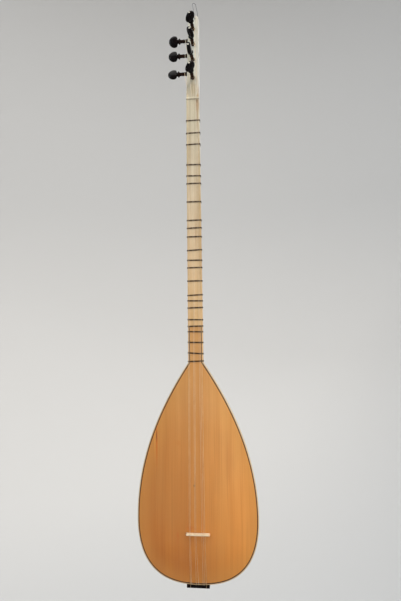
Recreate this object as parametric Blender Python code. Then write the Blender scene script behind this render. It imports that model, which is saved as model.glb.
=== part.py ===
"""Long-neck baglama: staved bowl, inset tongue, tied frets, seven strings and seven friction pegs.

The neck stands along +Z with the soundboard facing -Y, and the origin is the point it hangs from.
Shapes are worked out in millimetres in the neck frame, whose origin is the middle of the nut on the
fingerboard plane (x to the treble side, y from the face to the back, z towards the pegs), and then
put in place in metres.
"""
import math

import bmesh
import bpy
from mathutils import Matrix, Vector

MM = 0.001
GAP = 0.3                      # clearance between pieces that touch

# where the nut lies below and in front of the hanging point
NUT_Z = -238.0
FACE_Y = -35.0

# bowl and soundboard
JOINT_Z = -551.5               # end of the neck, start of the bowl
TAIL_Z = -985.6
RIM = ((15.6, JOINT_Z), (84.4, -654.2), (121.2, -753.0), (121.2, -858.1))
RIM_TAIL = ((121.2, -858.1), (121.2, -983.1), (35.5, TAIL_Z), (0.0, TAIL_Z))
KEEL = ((27.0, JOINT_Z), (66.0, -640.0), (140.0, -725.0), (140.0, -842.0))
KEEL_TAIL = ((140.0, -842.0), (140.0, -925.0), (96.0, TAIL_Z), (0.0, TAIL_Z))
STAVES = 9
STAVE_THICK = 3.0
BOARD_THICK = 3.2
BOARD_ARCH = 1.6               # rise of the soundboard over its edge
BOARD_TOP = (0.0, -850.0)
RABBET = 1.6                   # step in the soundboard's edge for the line and the binding
BINDING_WIDTH = 2.0
LINE_WIDTH = 1.2
CAP_U = 1.75                   # where the staves stop and the end cap starts
SOUND_HOLE = 6.5               # radius
SOUND_HOLE_Y = 19.0

# neck and peghead
NECK_HALF_NUT = 13.9
NECK_HALF_JOINT = 15.5
HEAD_TILT = math.radians(8.0)
HEAD_START = 6.0
HEAD_TOP = 204.0
TONGUE_HALF = 11.5
TONGUE_TOP = -477.1
TONGUE_DEEP = 1.3

# frets: stopped ratio and how far each is tied off square, in degrees
SCALE = 880.0
FRETS = (((19, 18), 0.2), ((12, 11), 0.8), ((9, 8), 0.3), ((81, 68), -1.2), ((16, 13), -1.5), ((34, 27), 0.3),
         ((4, 3), -0.4), ((17, 12), 0.8), ((16, 11), 1.3), ((3, 2), 0.0), ((63, 40), 2.6), ((18, 11), -0.1),
         ((32, 19), 0.8), ((16, 9), 0.3), ((17, 9), 2.4), ((31, 16), -1.0), ((2, 1), 1.6), ((36, 17), -1.1),
         ((35, 16), 1.0), ((9, 4), -0.8), ((81, 34), -0.7), ((38, 15), -3.6), ((85, 32), 1.7))
FRET_WIDE = 3.0
FRET_THICK = 0.85

# pegs: place on the peghead along z, how each head is turned, and how far it leans to the bass side
PEG_FACE = ((168.6, 45.0, 3.7), (130.9, 122.0, 2.6), (93.0, 90.0, 6.0), (49.4, 42.0, 2.8))
PEG_SIDE = ((146.0, 0.0, 0.0), (109.2, 12.0, 0.0), (65.0, 22.0, 0.0))
FACE_SHANK = 4.5               # the face pegs stand this much further out than the side pegs
PEG_SIDE_DEEP = 7.8
HOLE_MOUTH = 4.05

# bridge, nut, tailpiece, strings
BRIDGE_Z = -887.4
BRIDGE_X = 1.0
BRIDGE_HALF = 23.8
BRIDGE_TOP = -9.2
NUT_TOP = -1.9
TAILPIECE = (22.6, -1.8, 9.2, -990.9)   # half width, front, back, lowest
STRING_AT_NUT = (-10.8, -8.7, -1.4, 1.3, 6.6, 8.8, 11.0)
STRING_AT_BRIDGE = (-15.6, -13.5, -4.7, -2.5, 9.0, 12.1, 15.2)
STRING_AT_TAIL = (-15.2, -12.9, -3.9, 0.8, 9.6, 12.8, 16.2)
STRING_R = (0.30, 0.18, 0.22, 0.18, 0.18, 0.18, 0.30)
STRING_PEG = (("side", 2), ("side", 1), ("side", 0), ("face", 3), ("face", 2), ("face", 1), ("face", 0))
WIND_HEIGHT = 5.4              # where a string meets its peg, above the wood

# hanging loop
CORD = 1.0
HANG_HOLE = (4.0, 195.0)

WOODS = {}


def clear_scene():
    for old in list(bpy.data.objects):
        bpy.data.objects.remove(old, do_unlink=True)


def material(name, color, rough, metal=0.0, coat=0.0):
    if name not in WOODS:
        mat = bpy.data.materials.new(name)
        mat.use_nodes = True
        shader = mat.node_tree.nodes["Principled BSDF"]
        shader.inputs["Base Color"].default_value = (*color, 1.0)
        shader.inputs["Roughness"].default_value = rough
        shader.inputs["Metallic"].default_value = metal
        shader.inputs["Coat Weight"].default_value = coat
        WOODS[name] = mat
    return WOODS[name]


def pale_wood():
    return material("pale_hornbeam", (0.80, 0.66, 0.44), 0.42)


def spruce():
    return material("spruce_board", (0.62, 0.36, 0.13), 0.45)


def dark_line():
    return material("dark_veneer", (0.12, 0.05, 0.03), 0.5)


def black_wood():
    return material("black_wood", (0.02, 0.017, 0.016), 0.22)


def nylon():
    return material("brown_nylon", (0.20, 0.10, 0.05), 0.4)


def steel():
    return material("string_steel", (0.62, 0.60, 0.56), 0.3, 1.0)


def put(name, mesh, mat, smooth=None, matrix=None):
    """Add an object in the neck frame; smooth is the crease angle in degrees."""
    obj = bpy.data.objects.new(name, mesh)
    bpy.context.scene.collection.objects.link(obj)
    mesh.materials.append(mat)
    if smooth is not None:
        mesh.shade_smooth()
        mesh.set_sharp_from_angle(angle=math.radians(smooth))
    obj.parent = FRAME
    if matrix is not None:
        obj.matrix_local = matrix
    return obj


def cutter(name, mesh, matrix=None):
    obj = bpy.data.objects.new(name, mesh)
    bpy.context.scene.collection.objects.link(obj)
    obj.hide_render = True
    obj.display_type = 'WIRE'
    obj.parent = FRAME
    if matrix is not None:
        obj.matrix_local = matrix
    return obj


def cut(obj, tool):
    mod = obj.modifiers.new(tool.name, 'BOOLEAN')
    mod.operation = 'DIFFERENCE'
    mod.solver = 'EXACT'
    mod.object = tool


def loft(name, rings, ends=True, loop=False):
    """Closed skin over rings of equal length given in millimetres."""
    bm = bmesh.new()
    rows = [[bm.verts.new(Vector(p) * MM) for p in ring] for ring in rings]
    count = len(rows[0])
    pairs = list(zip(rows, rows[1:]))
    if loop:
        pairs.append((rows[-1], rows[0]))
    for low, high in pairs:
        for i in range(count):
            j = (i + 1) % count
            bm.faces.new((low[i], low[j], high[j], high[i]))
    if ends and not loop:
        bm.faces.new(list(reversed(rows[0])))
        bm.faces.new(rows[-1])
    bmesh.ops.recalc_face_normals(bm, faces=bm.faces)
    mesh = bpy.data.meshes.new(name)
    bm.to_mesh(mesh)
    bm.free()
    return mesh


def box(name, x0, x1, y0, y1, z0, z1, bevel=0.0):
    bm = bmesh.new()
    bmesh.ops.create_cube(bm, size=1.0)
    size = Vector((x1 - x0, y1 - y0, z1 - z0)) * MM
    mid = Vector((x0 + x1, y0 + y1, z0 + z1)) * (0.5 * MM)
    bmesh.ops.transform(bm, matrix=Matrix.Translation(mid) @ Matrix.Diagonal((*size, 1.0)), verts=bm.verts)
    if bevel:
        bmesh.ops.bevel(bm, geom=list(bm.edges), offset=bevel * MM, segments=1, affect='EDGES', profile=0.5)
    mesh = bpy.data.meshes.new(name)
    bm.to_mesh(mesh)
    bm.free()
    return mesh


def cone_tool(name, near, far, length, back, sides=20):
    """Tapered drill along local -Z, starting `back` above the surface."""
    bm = bmesh.new()
    slope = (near - far) / length
    bmesh.ops.create_cone(bm, cap_ends=True, segments=sides, radius1=(far - slope * 4.0) * MM,
                          radius2=(near + slope * back) * MM, depth=(length + 4.0 + back) * MM)
    bmesh.ops.translate(bm, vec=Vector((0, 0, (back - length - 4.0) * 0.5 * MM)), verts=bm.verts)
    mesh = bpy.data.meshes.new(name)
    bm.to_mesh(mesh)
    bm.free()
    return mesh


# ---------------------------------------------------------------- curves of the bowl

def bezier(seg, t):
    a, b, c, d = seg
    k = 1.0 - t
    return tuple(k * k * k * a[i] + 3 * k * k * t * b[i] + 3 * k * t * t * c[i] + t * t * t * d[i] for i in range(2))


def along(segs, u):
    return bezier(segs[0], u) if u <= 1.0 else bezier(segs[1], u - 1.0)


def reach_at(segs, z):
    """Distance from the axis where a two-piece profile crosses height z."""
    seg = segs[0] if z >= segs[0][3][1] else segs[1]
    low, high = 0.0, 1.0
    for _ in range(50):
        mid = 0.5 * (low + high)
        if bezier(seg, mid)[1] > z:
            low = mid
        else:
            high = mid
    return bezier(seg, 0.5 * (low + high))[0]


OUTLINE = (RIM, RIM_TAIL)
PROFILE = (KEEL, KEEL_TAIL)
UNDER = BOARD_THICK + GAP      # where the staves start behind the face


def rim_point(u, inset):
    """Point of the outline at u, moved inwards by inset."""
    x, z = along(OUTLINE, u)
    a = along(OUTLINE, max(u - 1e-3, 0.0))
    b = along(OUTLINE, min(u + 1e-3, 2.0))
    tx, tz = b[0] - a[0], b[1] - a[1]
    size = math.hypot(tx, tz)
    return x + tz / size * inset, z - tx / size * inset


def bowl_point(u, phi):
    x, z = along(OUTLINE, u)
    deep = max(reach_at(PROFILE, z), UNDER)
    return Vector((x * math.cos(phi), UNDER + (deep - UNDER) * math.sin(phi), z))


def bowl_normal(u, phi):
    du = bowl_point(min(u + 2e-3, 1.985), phi) - bowl_point(max(u - 2e-3, 0.0), phi)
    dp = bowl_point(u, phi + 2e-3) - bowl_point(u, phi - 2e-3)
    n = du.cross(dp).normalized()
    outwards = Vector((math.cos(phi), math.sin(phi), 0.0))
    return n if n.dot(outwards) > 0 else -n


def stations():
    first = [i / 9.0 for i in range(10)]
    last = [1.0 + CAP_U_REST * i / 6.0 for i in range(1, 7)]
    return first + last


CAP_U_REST = CAP_U - 1.0


def stave(index):
    rings = []
    step = math.pi / STAVES
    for u in stations():
        a, b = index * step, (index + 1) * step
        span = max((bowl_point(u, a + 0.01) - bowl_point(u, a - 0.01)).length / 0.02, 1.0)
        span_b = max((bowl_point(u, b + 0.01) - bowl_point(u, b - 0.01)).length / 0.02, 1.0)
        a += 0.0 if index == 0 else 0.5 * GAP / span
        b -= 0.0 if index == STAVES - 1 else 0.5 * GAP / span_b
        angles = [a + (b - a) * i / 3.0 for i in range(4)]
        outer, inner = [], []
        for phi in angles:
            p = bowl_point(u, phi)
            n = Vector((0, 0, -1)) if u == CAP_U else bowl_normal(u, phi)
            if index == 0 and phi == angles[0] or index == STAVES - 1 and phi == angles[-1]:
                n.y = 0.0
                n.normalize()
            outer.append(p)
            inner.append(p - n * STAVE_THICK)
        rings.append(outer + inner[::-1])
    return loft("stave", rings)


def inside(z, phi, ease):
    """Point inside the staves at height z on the line phi, ease off their inner side."""
    low, high = 0.0, CAP_U - 0.03
    for _ in range(40):
        mid = 0.5 * (low + high)
        if (bowl_point(mid, phi) - bowl_normal(mid, phi) * STAVE_THICK).z > z:
            low = mid
        else:
            high = mid
    q = bowl_point(low, phi) - bowl_normal(low, phi) * STAVE_THICK
    x, y = q.x, q.y - UNDER
    size = math.hypot(x, y)
    return x * (1 - ease / size), y * (1 - ease / size)


# ---------------------------------------------------------------- neck sections

def neck_half(z):
    return NECK_HALF_NUT + (NECK_HALF_JOINT - NECK_HALF_NUT) * min(max(-z / -JOINT_Z, 0.0), 1.0)


def neck_deep(z):
    t = min(max(-z / -JOINT_Z, 0.0), 1.0)
    return 21.5 + 3.0 * t + 2.5 * max(0.0, (t - 0.86) / 0.14) ** 2


def face_y(z):
    return max(z - HEAD_START, 0.0) * math.tan(HEAD_TILT)


def head_half(z):
    return 12.9 - (z - 50.0) * 0.0103


def neck_ring(z, grow=0.0):
    """Section of the playing length; the back is a half ellipse."""
    w, t = neck_half(z) + grow, neck_deep(z) + 2 * grow
    y, rf = -grow, 1.0 + grow
    ry = t - grow - UNDER
    pts = []
    for i in range(3):
        a = math.pi * 0.25 * i
        pts.append((-w + rf - rf * math.cos(a), y + rf - rf * math.sin(a)))
    for i in range(3):
        a = math.pi * 0.25 * i
        pts.append((w - rf + rf * math.sin(a), y + rf - rf * math.cos(a)))
    for i in range(13):
        a = math.pi / 12 * i
        pts.append((w * math.cos(a), y + t - ry + ry * math.sin(a)))
    return [(px, py, z) for px, py in pts]


def head_ring(z, y, w, t, rf, rx, ry):
    """Section of the peghead with as many points as the neck's: corners rx by ry beside a flat back."""
    pts = []
    for i in range(3):
        a = math.pi * 0.25 * i
        pts.append((-w + rf - rf * math.cos(a), y + rf - rf * math.sin(a)))
    for i in range(3):
        a = math.pi * 0.25 * i
        pts.append((w - rf + rf * math.sin(a), y + rf - rf * math.cos(a)))
    for i in range(13):
        if i < 6:
            side, a = 1, math.pi / 10 * i
        else:
            side, a = -1, math.pi / 12 * i
        pts.append((side * (w - rx) + rx * math.cos(a), y + t - ry + ry * math.sin(a)))
    return [(px, py, z) for px, py in pts]


def build_neck():
    rings = []
    for z, w, y, t in ((-590.0, 4.4, 7.0, 8.0), (JOINT_Z + GAP, 6.0, 6.0, 13.0)):
        rings.append(head_ring(z, y, w, t, 1.0, 3.0, 3.0))
    for z in (JOINT_Z + GAP, -535.0, -515.0, -495.0, -460.0, -300.0, -150.0, -12.0, 3.0):
        rings.append(neck_ring(z))
    for z, w, t, rf, rx, ry in ((10.0, 13.75, 20.4, 1.2, 12.6, 15.0), (18.0, 13.5, 19.2, 1.8, 9.0, 9.5),
                                (30.0, 13.15, 18.3, 2.6, 5.5, 5.5), (44.0, head_half(44.0), 18.0, 3.0, 4.0, 4.0),
                                (197.0, head_half(197.0), 17.2, 3.0, 4.0, 4.0),
                                (201.5, head_half(197.0) - 1.0, 16.0, 3.0, 4.0, 4.0),
                                (HEAD_TOP, head_half(197.0) - 3.4, 13.0, 2.6, 3.4, 3.4)):
        lift = 0.0 if z < 198.0 else (17.2 - t) / 2
        rings.append(head_ring(z, face_y(z) + lift, w, t, rf, rx, ry))
    neck = put("neck", loft("neck", rings), pale_wood(), smooth=40)

    tool = cutter("cut_nut_slot", box("cut_nut_slot", -20, 20, -2, 3.0, 0.0, 4.0))
    cut(neck, tool)
    half = TONGUE_HALF + GAP + LINE_WIDTH + GAP
    tool = cutter("cut_tongue", box("cut_tongue", -half, half, -2, TONGUE_DEEP + GAP, JOINT_Z - 2, TONGUE_TOP + GAP))
    cut(neck, tool)
    for i in range(len(PEG_FACE)):
        tool = cutter("cut_peg_face_%d" % (i + 1), cone_tool("drill", HOLE_MOUTH, 3.45, 18.0, 3.0),
                      peg_matrix("face", i, turned=False))
        cut(neck, tool)
    for i in range(len(PEG_SIDE)):
        tool = cutter("cut_peg_side_%d" % (i + 1), cone_tool("drill", HOLE_MOUTH, 3.35, 25.0, 3.0),
                      peg_matrix("side", i, turned=False))
        cut(neck, tool)
    x, z = HANG_HOLE
    out = Vector((0, -math.cos(HEAD_TILT), math.sin(HEAD_TILT)))
    tool = cutter("cut_hang_hole", cone_tool("drill", 1.5, 1.5, 18.0, 3.0, 12),
                  frame_matrix(Vector((x, face_y(z), z)), Vector((1, 0, 0)), out))
    cut(neck, tool)
    return neck


# ---------------------------------------------------------------- pegs

def frame_matrix(point, wide, out):
    """Placement with local Z along out and local X along wide."""
    side = out.cross(wide).normalized()
    wide = side.cross(out)
    rot = Matrix((wide, side, out)).transposed().to_4x4()
    return Matrix.Translation(point * MM) @ rot


def peg_out(kind, index):
    """Direction of a peg's axis, out of the wood."""
    if kind == "side":
        return Vector((-1, 0, 0))
    lean = math.radians(PEG_FACE[index][2])
    return Vector((-math.sin(lean), -math.cos(HEAD_TILT) * math.cos(lean), math.sin(HEAD_TILT) * math.cos(lean)))


def peg_matrix(kind, index, turned=True):
    out = peg_out(kind, index)
    if kind == "face":
        z, turn, _ = PEG_FACE[index]
        point, wide = Vector((0, face_y(z), z)), Vector((1, 0, 0))
    else:
        z, turn, _ = PEG_SIDE[index]
        point, wide = Vector((-head_half(z), face_y(z) + PEG_SIDE_DEEP, z)), Vector((0, 0, 1))
    if turned:
        wide = Matrix.Rotation(math.radians(turn), 3, out) @ wide
    return frame_matrix(point, wide, out)


def peg_mesh(name, shaft, extra):
    """Turned shank with a collar and a bead under a flat rounded head; shaft is the length in the wood."""
    tip = 3.72 - 0.0333 * shaft
    rows = [(-shaft, tip - 0.5, tip - 0.5), (-shaft + 0.7, tip, tip), (0.2, 3.68, 3.68), (0.45, 4.1, 4.1),
            (1.1, 4.5, 4.5), (2.1, 4.5, 4.5), (3.0, 3.5, 3.5), (7.2, 3.4, 3.4)]
    rows += [(s + extra, a, b) for s, a, b in (
        (8.0, 3.9, 3.9), (9.4, 3.9, 3.9), (11.0, 3.6, 3.6), (15.8, 3.7, 3.7), (17.0, 5.4, 5.4), (18.4, 6.0, 6.0),
        (19.8, 5.6, 5.6), (21.2, 3.8, 3.8), (22.0, 5.0, 3.7), (23.0, 9.0, 4.1), (25.2, 11.6, 4.3),
        (29.4, 12.9, 4.2), (33.4, 12.2, 4.0), (37.0, 9.9, 3.5), (39.8, 6.6, 2.8), (41.4, 3.6, 1.9),
        (42.0, 1.4, 0.9))]
    rings = [[(a * math.cos(math.tau * i / 14), b * math.sin(math.tau * i / 14), s) for i in range(14)]
             for s, a, b in rows]
    return loft(name, rings)


def build_pegs():
    for kind, count, shaft, extra in (("face", len(PEG_FACE), 17.2, FACE_SHANK), ("side", len(PEG_SIDE), 22.6, 0.0)):
        for i in range(count):
            name = "peg_%s_%d" % (kind, i + 1)
            put(name, peg_mesh(name, shaft, extra), black_wood(), smooth=35, matrix=peg_matrix(kind, i))


# ---------------------------------------------------------------- frets, nut, tongue

def build_frets():
    for i, ((num, den), skew) in enumerate(FRETS):
        z = -SCALE * (1.0 - den / num)
        lean = math.tan(math.radians(skew))
        low, high = z - FRET_WIDE / 2, z + FRET_WIDE / 2
        inner = [neck_ring(low, GAP), neck_ring(high, GAP)]
        outer = [neck_ring(high, GAP + FRET_THICK), neck_ring(low, GAP + FRET_THICK)]
        rings = [[(x, y, zz + x * lean - z) for x, y, zz in ring] for ring in inner + outer]
        name = "fret_%02d" % (i + 1)
        put(name, loft(name, rings, loop=True), nylon(), smooth=30, matrix=Matrix.Translation(Vector((0, 0, z)) * MM))


def build_nut():
    mesh = box("nut", -neck_half(0), neck_half(0), NUT_TOP, 2.7, GAP, 4.0 - GAP, bevel=0.4)
    put("nut", mesh, material("bone", (0.86, 0.80, 0.66), 0.35))


def build_tongue():
    z1 = TONGUE_TOP - LINE_WIDTH - GAP
    mesh = box("neck_tongue", -TONGUE_HALF, TONGUE_HALF, 0.0, TONGUE_DEEP, JOINT_Z - 0.4, z1)
    put("neck_tongue", mesh, spruce())
    a, b = TONGUE_HALF + GAP, TONGUE_HALF + GAP + LINE_WIDTH
    bm = bmesh.new()
    path = [(b, JOINT_Z - 0.4), (b, TONGUE_TOP), (-b, TONGUE_TOP), (-b, JOINT_Z - 0.4),
            (-a, JOINT_Z - 0.4), (-a, TONGUE_TOP - LINE_WIDTH), (a, TONGUE_TOP - LINE_WIDTH), (a, JOINT_Z - 0.4)]
    face = bm.faces.new([bm.verts.new(Vector((x, 0.0, z)) * MM) for x, z in path])
    back = bmesh.ops.extrude_face_region(bm, geom=[face])
    bmesh.ops.translate(bm, vec=Vector((0, TONGUE_DEEP, 0)) * MM,
                        verts=[g for g in back["geom"] if isinstance(g, bmesh.types.BMVert)])
    bmesh.ops.recalc_face_normals(bm, faces=bm.faces)
    mesh = bpy.data.meshes.new("tongue_purfling")
    bm.to_mesh(mesh)
    bm.free()
    put("tongue_purfling", mesh, dark_line())


# ---------------------------------------------------------------- soundboard and edge

def edge_us():
    return [i / 11.0 for i in range(12)] + [1.0 + i / 9.0 for i in range(1, 10)]


def loop_points(inset, start=None):
    """Outline from the joint on the treble side round the tail to the other side."""
    half = [rim_point(u, inset) for u in edge_us()]
    if start is not None:
        half = [(start, JOINT_Z - 0.7)] + half
    return half + [(-x, z) for x, z in reversed(half[:-1])]


def ribbon(name, inset, width, mat):
    """Strip let into the soundboard's edge, open at the joint."""
    rings = []
    outer, inner = loop_points(inset), loop_points(inset + width)
    for (xo, zo), (xi, zi) in zip(outer, inner):
        rings.append([(xo, 0.0, zo), (xi, 0.0, zi), (xi, RABBET - GAP, zi), (xo, RABBET - GAP, zo)])
    put(name, loft(name, rings), mat, smooth=30)


def arch(x, z):
    """How far the soundboard rises over its edge at x, z (0 at the edge)."""
    cx, cz = BOARD_TOP
    s = min(max(arch_scale(x - cx, z - cz), 0.0), 1.0)
    return BOARD_ARCH * (1.0 - s * s)


def arch_scale(dx, dz):
    """Share of the way from the middle of the board to its edge."""
    if math.hypot(dx, dz) < 1e-6:
        return 0.0
    ring = EDGE_RING
    best = 0.0
    for (x0, z0), (x1, z1) in zip(ring, ring[1:] + ring[:1]):
        ex, ez = x1 - x0, z1 - z0
        det = dx * -ez + ex * dz
        if abs(det) < 1e-9:
            continue
        ax, az = x0 - BOARD_TOP[0], z0 - BOARD_TOP[1]
        t = (ax * -ez + ex * az) / det
        k = (dx * az - dz * ax) / det
        if t > 0 and -1e-6 <= k <= 1.0 + 1e-6:
            best = max(best, 1.0 / t)
    return best


EDGE_INSET = BINDING_WIDTH + GAP + LINE_WIDTH + GAP
EDGE_RING = loop_points(EDGE_INSET, start=TONGUE_HALF + 0.7)


def build_board():
    cx, cz = BOARD_TOP
    full = loop_points(0.0, start=TONGUE_HALF + 0.7)
    full[0] = (full[0][0], JOINT_Z)
    full[-1] = (full[-1][0], JOINT_Z)
    edge = EDGE_RING
    bm = bmesh.new()

    def row(points, y):
        return [bm.verts.new(Vector((x, y, z)) * MM) for x, z in points]

    def scaled(s):
        return [(cx + (x - cx) * s, cz + (z - cz) * s) for x, z in edge]

    rows = []
    for s in (0.2, 0.45, 0.72):
        rows.append(row(scaled(s), -BOARD_ARCH * (1 - s * s)))
    rows.append(row(edge, 0.0))
    rows.append(row(edge, RABBET))
    rows.append(row(full, RABBET))
    rows.append(row(full, BOARD_THICK))
    for s in (0.6,):
        rows.append(row(scaled(s), BOARD_THICK - BOARD_ARCH * (1 - s * s)))
    count = len(edge)
    for low, high in zip(rows, rows[1:]):
        for i in range(count):
            j = (i + 1) % count
            bm.faces.new((low[i], low[j], high[j], high[i]))
    front = bm.verts.new(Vector((cx, -BOARD_ARCH, cz)) * MM)
    back = bm.verts.new(Vector((cx, BOARD_THICK - BOARD_ARCH, cz)) * MM)
    for i in range(count):
        j = (i + 1) % count
        bm.faces.new((rows[0][j], rows[0][i], front))
        bm.faces.new((rows[-1][i], rows[-1][j], back))
    bmesh.ops.recalc_face_normals(bm, faces=bm.faces)
    mesh = bpy.data.meshes.new("soundboard")
    bm.to_mesh(mesh)
    bm.free()
    put("soundboard", mesh, spruce(), smooth=30)
    ribbon("edge_binding", 0.0, BINDING_WIDTH, pale_wood())
    ribbon("body_purfling", BINDING_WIDTH + GAP, LINE_WIDTH, dark_line())


def build_brace():
    z0, z1 = -763.0, -757.0
    half = inside(-760.0, 0.0, 1.5)[0]
    rings = []
    for z in (z0, z1):
        top, low = [], []
        for i in range(9):
            x = -half + 2 * half * i / 8.0
            top.append((x, BOARD_THICK + GAP + 0.1 - arch(x, -760.0), z))
            drop = 9.0 * min(1.0, (1.0 - abs(x) / half) * 3.0 + 0.3)
            low.append((x, BOARD_THICK + GAP + drop, z))
        rings.append(top + low[::-1])
    put("soundboard_brace", loft("soundboard_brace", rings), material("brace_spruce", (0.75, 0.60, 0.38), 0.6))


# ---------------------------------------------------------------- bowl

def build_bowl():
    for i in range(STAVES):
        name = "stave_%d" % (i + 1)
        put(name, stave(i), pale_wood(), smooth=30)

    # end cap where the staves meet
    steps = 12
    rings = []
    flat = TAIL_Z + 5.2

    def cap_ring(u, shrink):
        pts = []
        for i in range(steps + 1):
            phi = math.pi * i / steps
            p = bowl_point(u, phi)
            pts.append((p.x - shrink * math.cos(phi), max(p.y - shrink * math.sin(phi), UNDER), p.z))
        return pts

    outer = cap_ring(CAP_U, GAP)
    rings.append([(x, y, flat) for x, y, z in outer])
    rings.append(outer)
    rings.append(cap_ring(1.83, 0.0))
    rings.append(cap_ring(1.92, 0.0))
    cap = put("tail_cap", loft("tail_cap", rings), pale_wood(), smooth=30)

    # tail block behind the cap, and the sound hole through both
    base = cap_ring(CAP_U, 1.2)
    z0, z1 = flat + 0.5, flat + 24.0
    low = [(x, y + 0.1, z0) for x, y, z in base]
    mid = [(x, y + 0.1, z1 - 3.0) for x, y, z in base]
    top = [(x * 0.92, UNDER + 0.1 + (y - UNDER) * 0.92, z1) for x, y, z in base]
    block = put("tail_block", loft("tail_block", [low, mid, top]), material("lime_block", (0.66, 0.50, 0.30), 0.7), 30)
    for obj, radius in ((cap, SOUND_HOLE), (block, SOUND_HOLE + 0.6)):
        tool = cutter("cut_hole_" + obj.name, cone_tool("drill", radius, radius, 60.0, 10.0, 24),
                      Matrix.Translation(Vector((0, SOUND_HOLE_Y, TAIL_Z + 50.0)) * MM))
        cut(obj, tool)

    # neck block with its mortise
    rings = []
    for z in (JOINT_Z - 0.9, -570.0, -590.0, -606.0, -610.0):
        ring = []
        ease = 0.9 if z > -608.0 else 4.0
        for i in range(11):
            x, y = inside(z, math.pi * i / 10.0, ease)
            fit = min(1.0, 33.0 / math.hypot(x, y))
            ring.append((x * fit, UNDER + 0.1 + y * fit, z))
        rings.append(ring)
    block = put("neck_block", loft("neck_block", rings), material("lime_block", (0.66, 0.50, 0.30), 0.7), 30)
    rings = []
    for z, w, y, t in ((-590.0 - GAP, 4.4, 7.0, 8.0), (JOINT_Z + 4.0, 6.15, 5.95, 13.55)):
        rings.append(head_ring(z, y - GAP, w + GAP, t + 2 * GAP, 1.0, 3.0, 3.0))
    tool = cutter("cut_mortise", loft("cut_mortise", rings))
    cut(block, tool)


# ---------------------------------------------------------------- bridge, tailpiece

def build_bridge():
    foot = -BOARD_ARCH - GAP + 0.05
    h = BRIDGE_HALF
    side = [(-h, foot), (-h + 9.5, foot), (-h + 12.0, foot - 2.0), (-6.0, foot - 2.9), (6.0, foot - 2.9),
            (h - 12.0, foot - 2.0), (h - 9.5, foot), (h, foot), (h, foot - 2.6), (h - 0.6, BRIDGE_TOP + 0.8),
            (h - 1.6, BRIDGE_TOP), (0.0, BRIDGE_TOP), (-h + 1.6, BRIDGE_TOP), (-h + 0.6, BRIDGE_TOP + 0.8),
            (-h, foot - 2.6)]
    rings = []
    for sign in (1.0, -1.0):
        ring = []
        for x, y in side:
            k = (y - foot) / (BRIDGE_TOP - foot)
            thick = 2.5 - 1.25 * k
            ring.append((x, y, sign * thick))
        rings.append(ring)
    put("bridge", loft("bridge", rings), material("bridge_maple", (0.88, 0.76, 0.58), 0.4),
        matrix=Matrix.Translation(Vector((BRIDGE_X, 0.0, BRIDGE_Z)) * MM))


def build_tailpiece():
    half, front, back, low = TAILPIECE
    edge = [(-half + 1.5, front)]
    for x in STRING_AT_TAIL:
        edge += [(x - 0.7, front), (x - 0.7, front + 1.0), (x + 0.7, front + 1.0), (x + 0.7, front)]
    edge += [(half - 1.5, front), (half, front + 1.5), (half, back - 3.0), (half - 3.0, back), (-half + 3.0, back),
             (-half, back - 3.0), (-half, front + 1.5)]
    top = TAIL_Z - GAP
    rings = [[(x, y, top) for x, y in edge], [(x, y, low + 1.0) for x, y in edge],
             [(x * 0.985, y * 0.93 + 0.1, low) for x, y in edge]]
    put("tailpiece", loft("tailpiece", rings), black_wood(), smooth=25)


# ---------------------------------------------------------------- strings and loop

def tube(name, points, radius, resolution, mat):
    curve = bpy.data.curves.new(name, 'CURVE')
    curve.dimensions = '3D'
    curve.bevel_depth = radius * MM
    curve.bevel_resolution = resolution
    curve.use_fill_caps = True
    curve.materials.append(mat)
    spline = curve.splines.new('POLY')
    spline.points.add(len(points) - 1)
    for slot, p in zip(spline.points, points):
        slot.co = (*(Vector(p) * MM), 1.0)
    obj = bpy.data.objects.new(name, curve)
    bpy.context.scene.collection.objects.link(obj)
    obj.parent = FRAME
    return obj


def string_points(i):
    kind, peg = STRING_PEG[i]
    r = STRING_R[i]
    nut = Vector((STRING_AT_NUT[i], NUT_TOP - GAP - r, 2.0))
    reach = 3.5 + GAP + r + 0.1
    if kind == "face":
        z = PEG_FACE[peg][0]
        base = Vector((0, face_y(z), z))
        end = base + peg_out("face", peg) * WIND_HEIGHT + Vector((reach, 0, 0))
        start = [end]
    else:
        z = PEG_SIDE[peg][0]
        base = Vector((-head_half(z), face_y(z) + PEG_SIDE_DEEP, z))
        end = base + Vector((-WIND_HEIGHT, -reach, 0))
        share = 0.72 if peg == 0 else (0.62 if peg == 1 else 0.5)
        ze = z * share
        edge = Vector((-head_half(ze) + 0.6, face_y(ze) - 0.15 - r, ze))
        start = [end, edge]
    bridge = Vector((STRING_AT_BRIDGE[i], BRIDGE_TOP - GAP - r, BRIDGE_Z - 2.6))
    half, front, back, low = TAILPIECE
    x = STRING_AT_TAIL[i]
    y = front + 1.0 - GAP - r
    tail = [Vector((x, y, TAIL_Z + 0.6)), Vector((x, y, low - 0.2)), Vector((x, y + 1.1, low - GAP - r - 0.35)),
            Vector((x, 4.0, low - GAP - r))]
    # the stretch from the nut dips under nothing, so it is straight
    return start + [nut, bridge] + tail


def build_strings():
    for i in range(7):
        tube("string_%d" % (i + 1), string_points(i), STRING_R[i], 1, steel())


def smooth_route(points, steps):
    """Catmull-Rom curve through the points."""
    pts = [Vector(p) for p in points]
    pts = [2 * pts[0] - pts[1]] + pts + [2 * pts[-1] - pts[-2]]
    out = []
    for a, b, c, d in zip(pts, pts[1:], pts[2:], pts[3:]):
        for k in range(steps):
            t = k / steps
            out.append(0.5 * ((2 * b) + (c - a) * t + (2 * a - 5 * b + 4 * c - d) * t * t
                              + (3 * b - a - 3 * c + d) * t * t * t))
    out.append(pts[-2])
    return out


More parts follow.
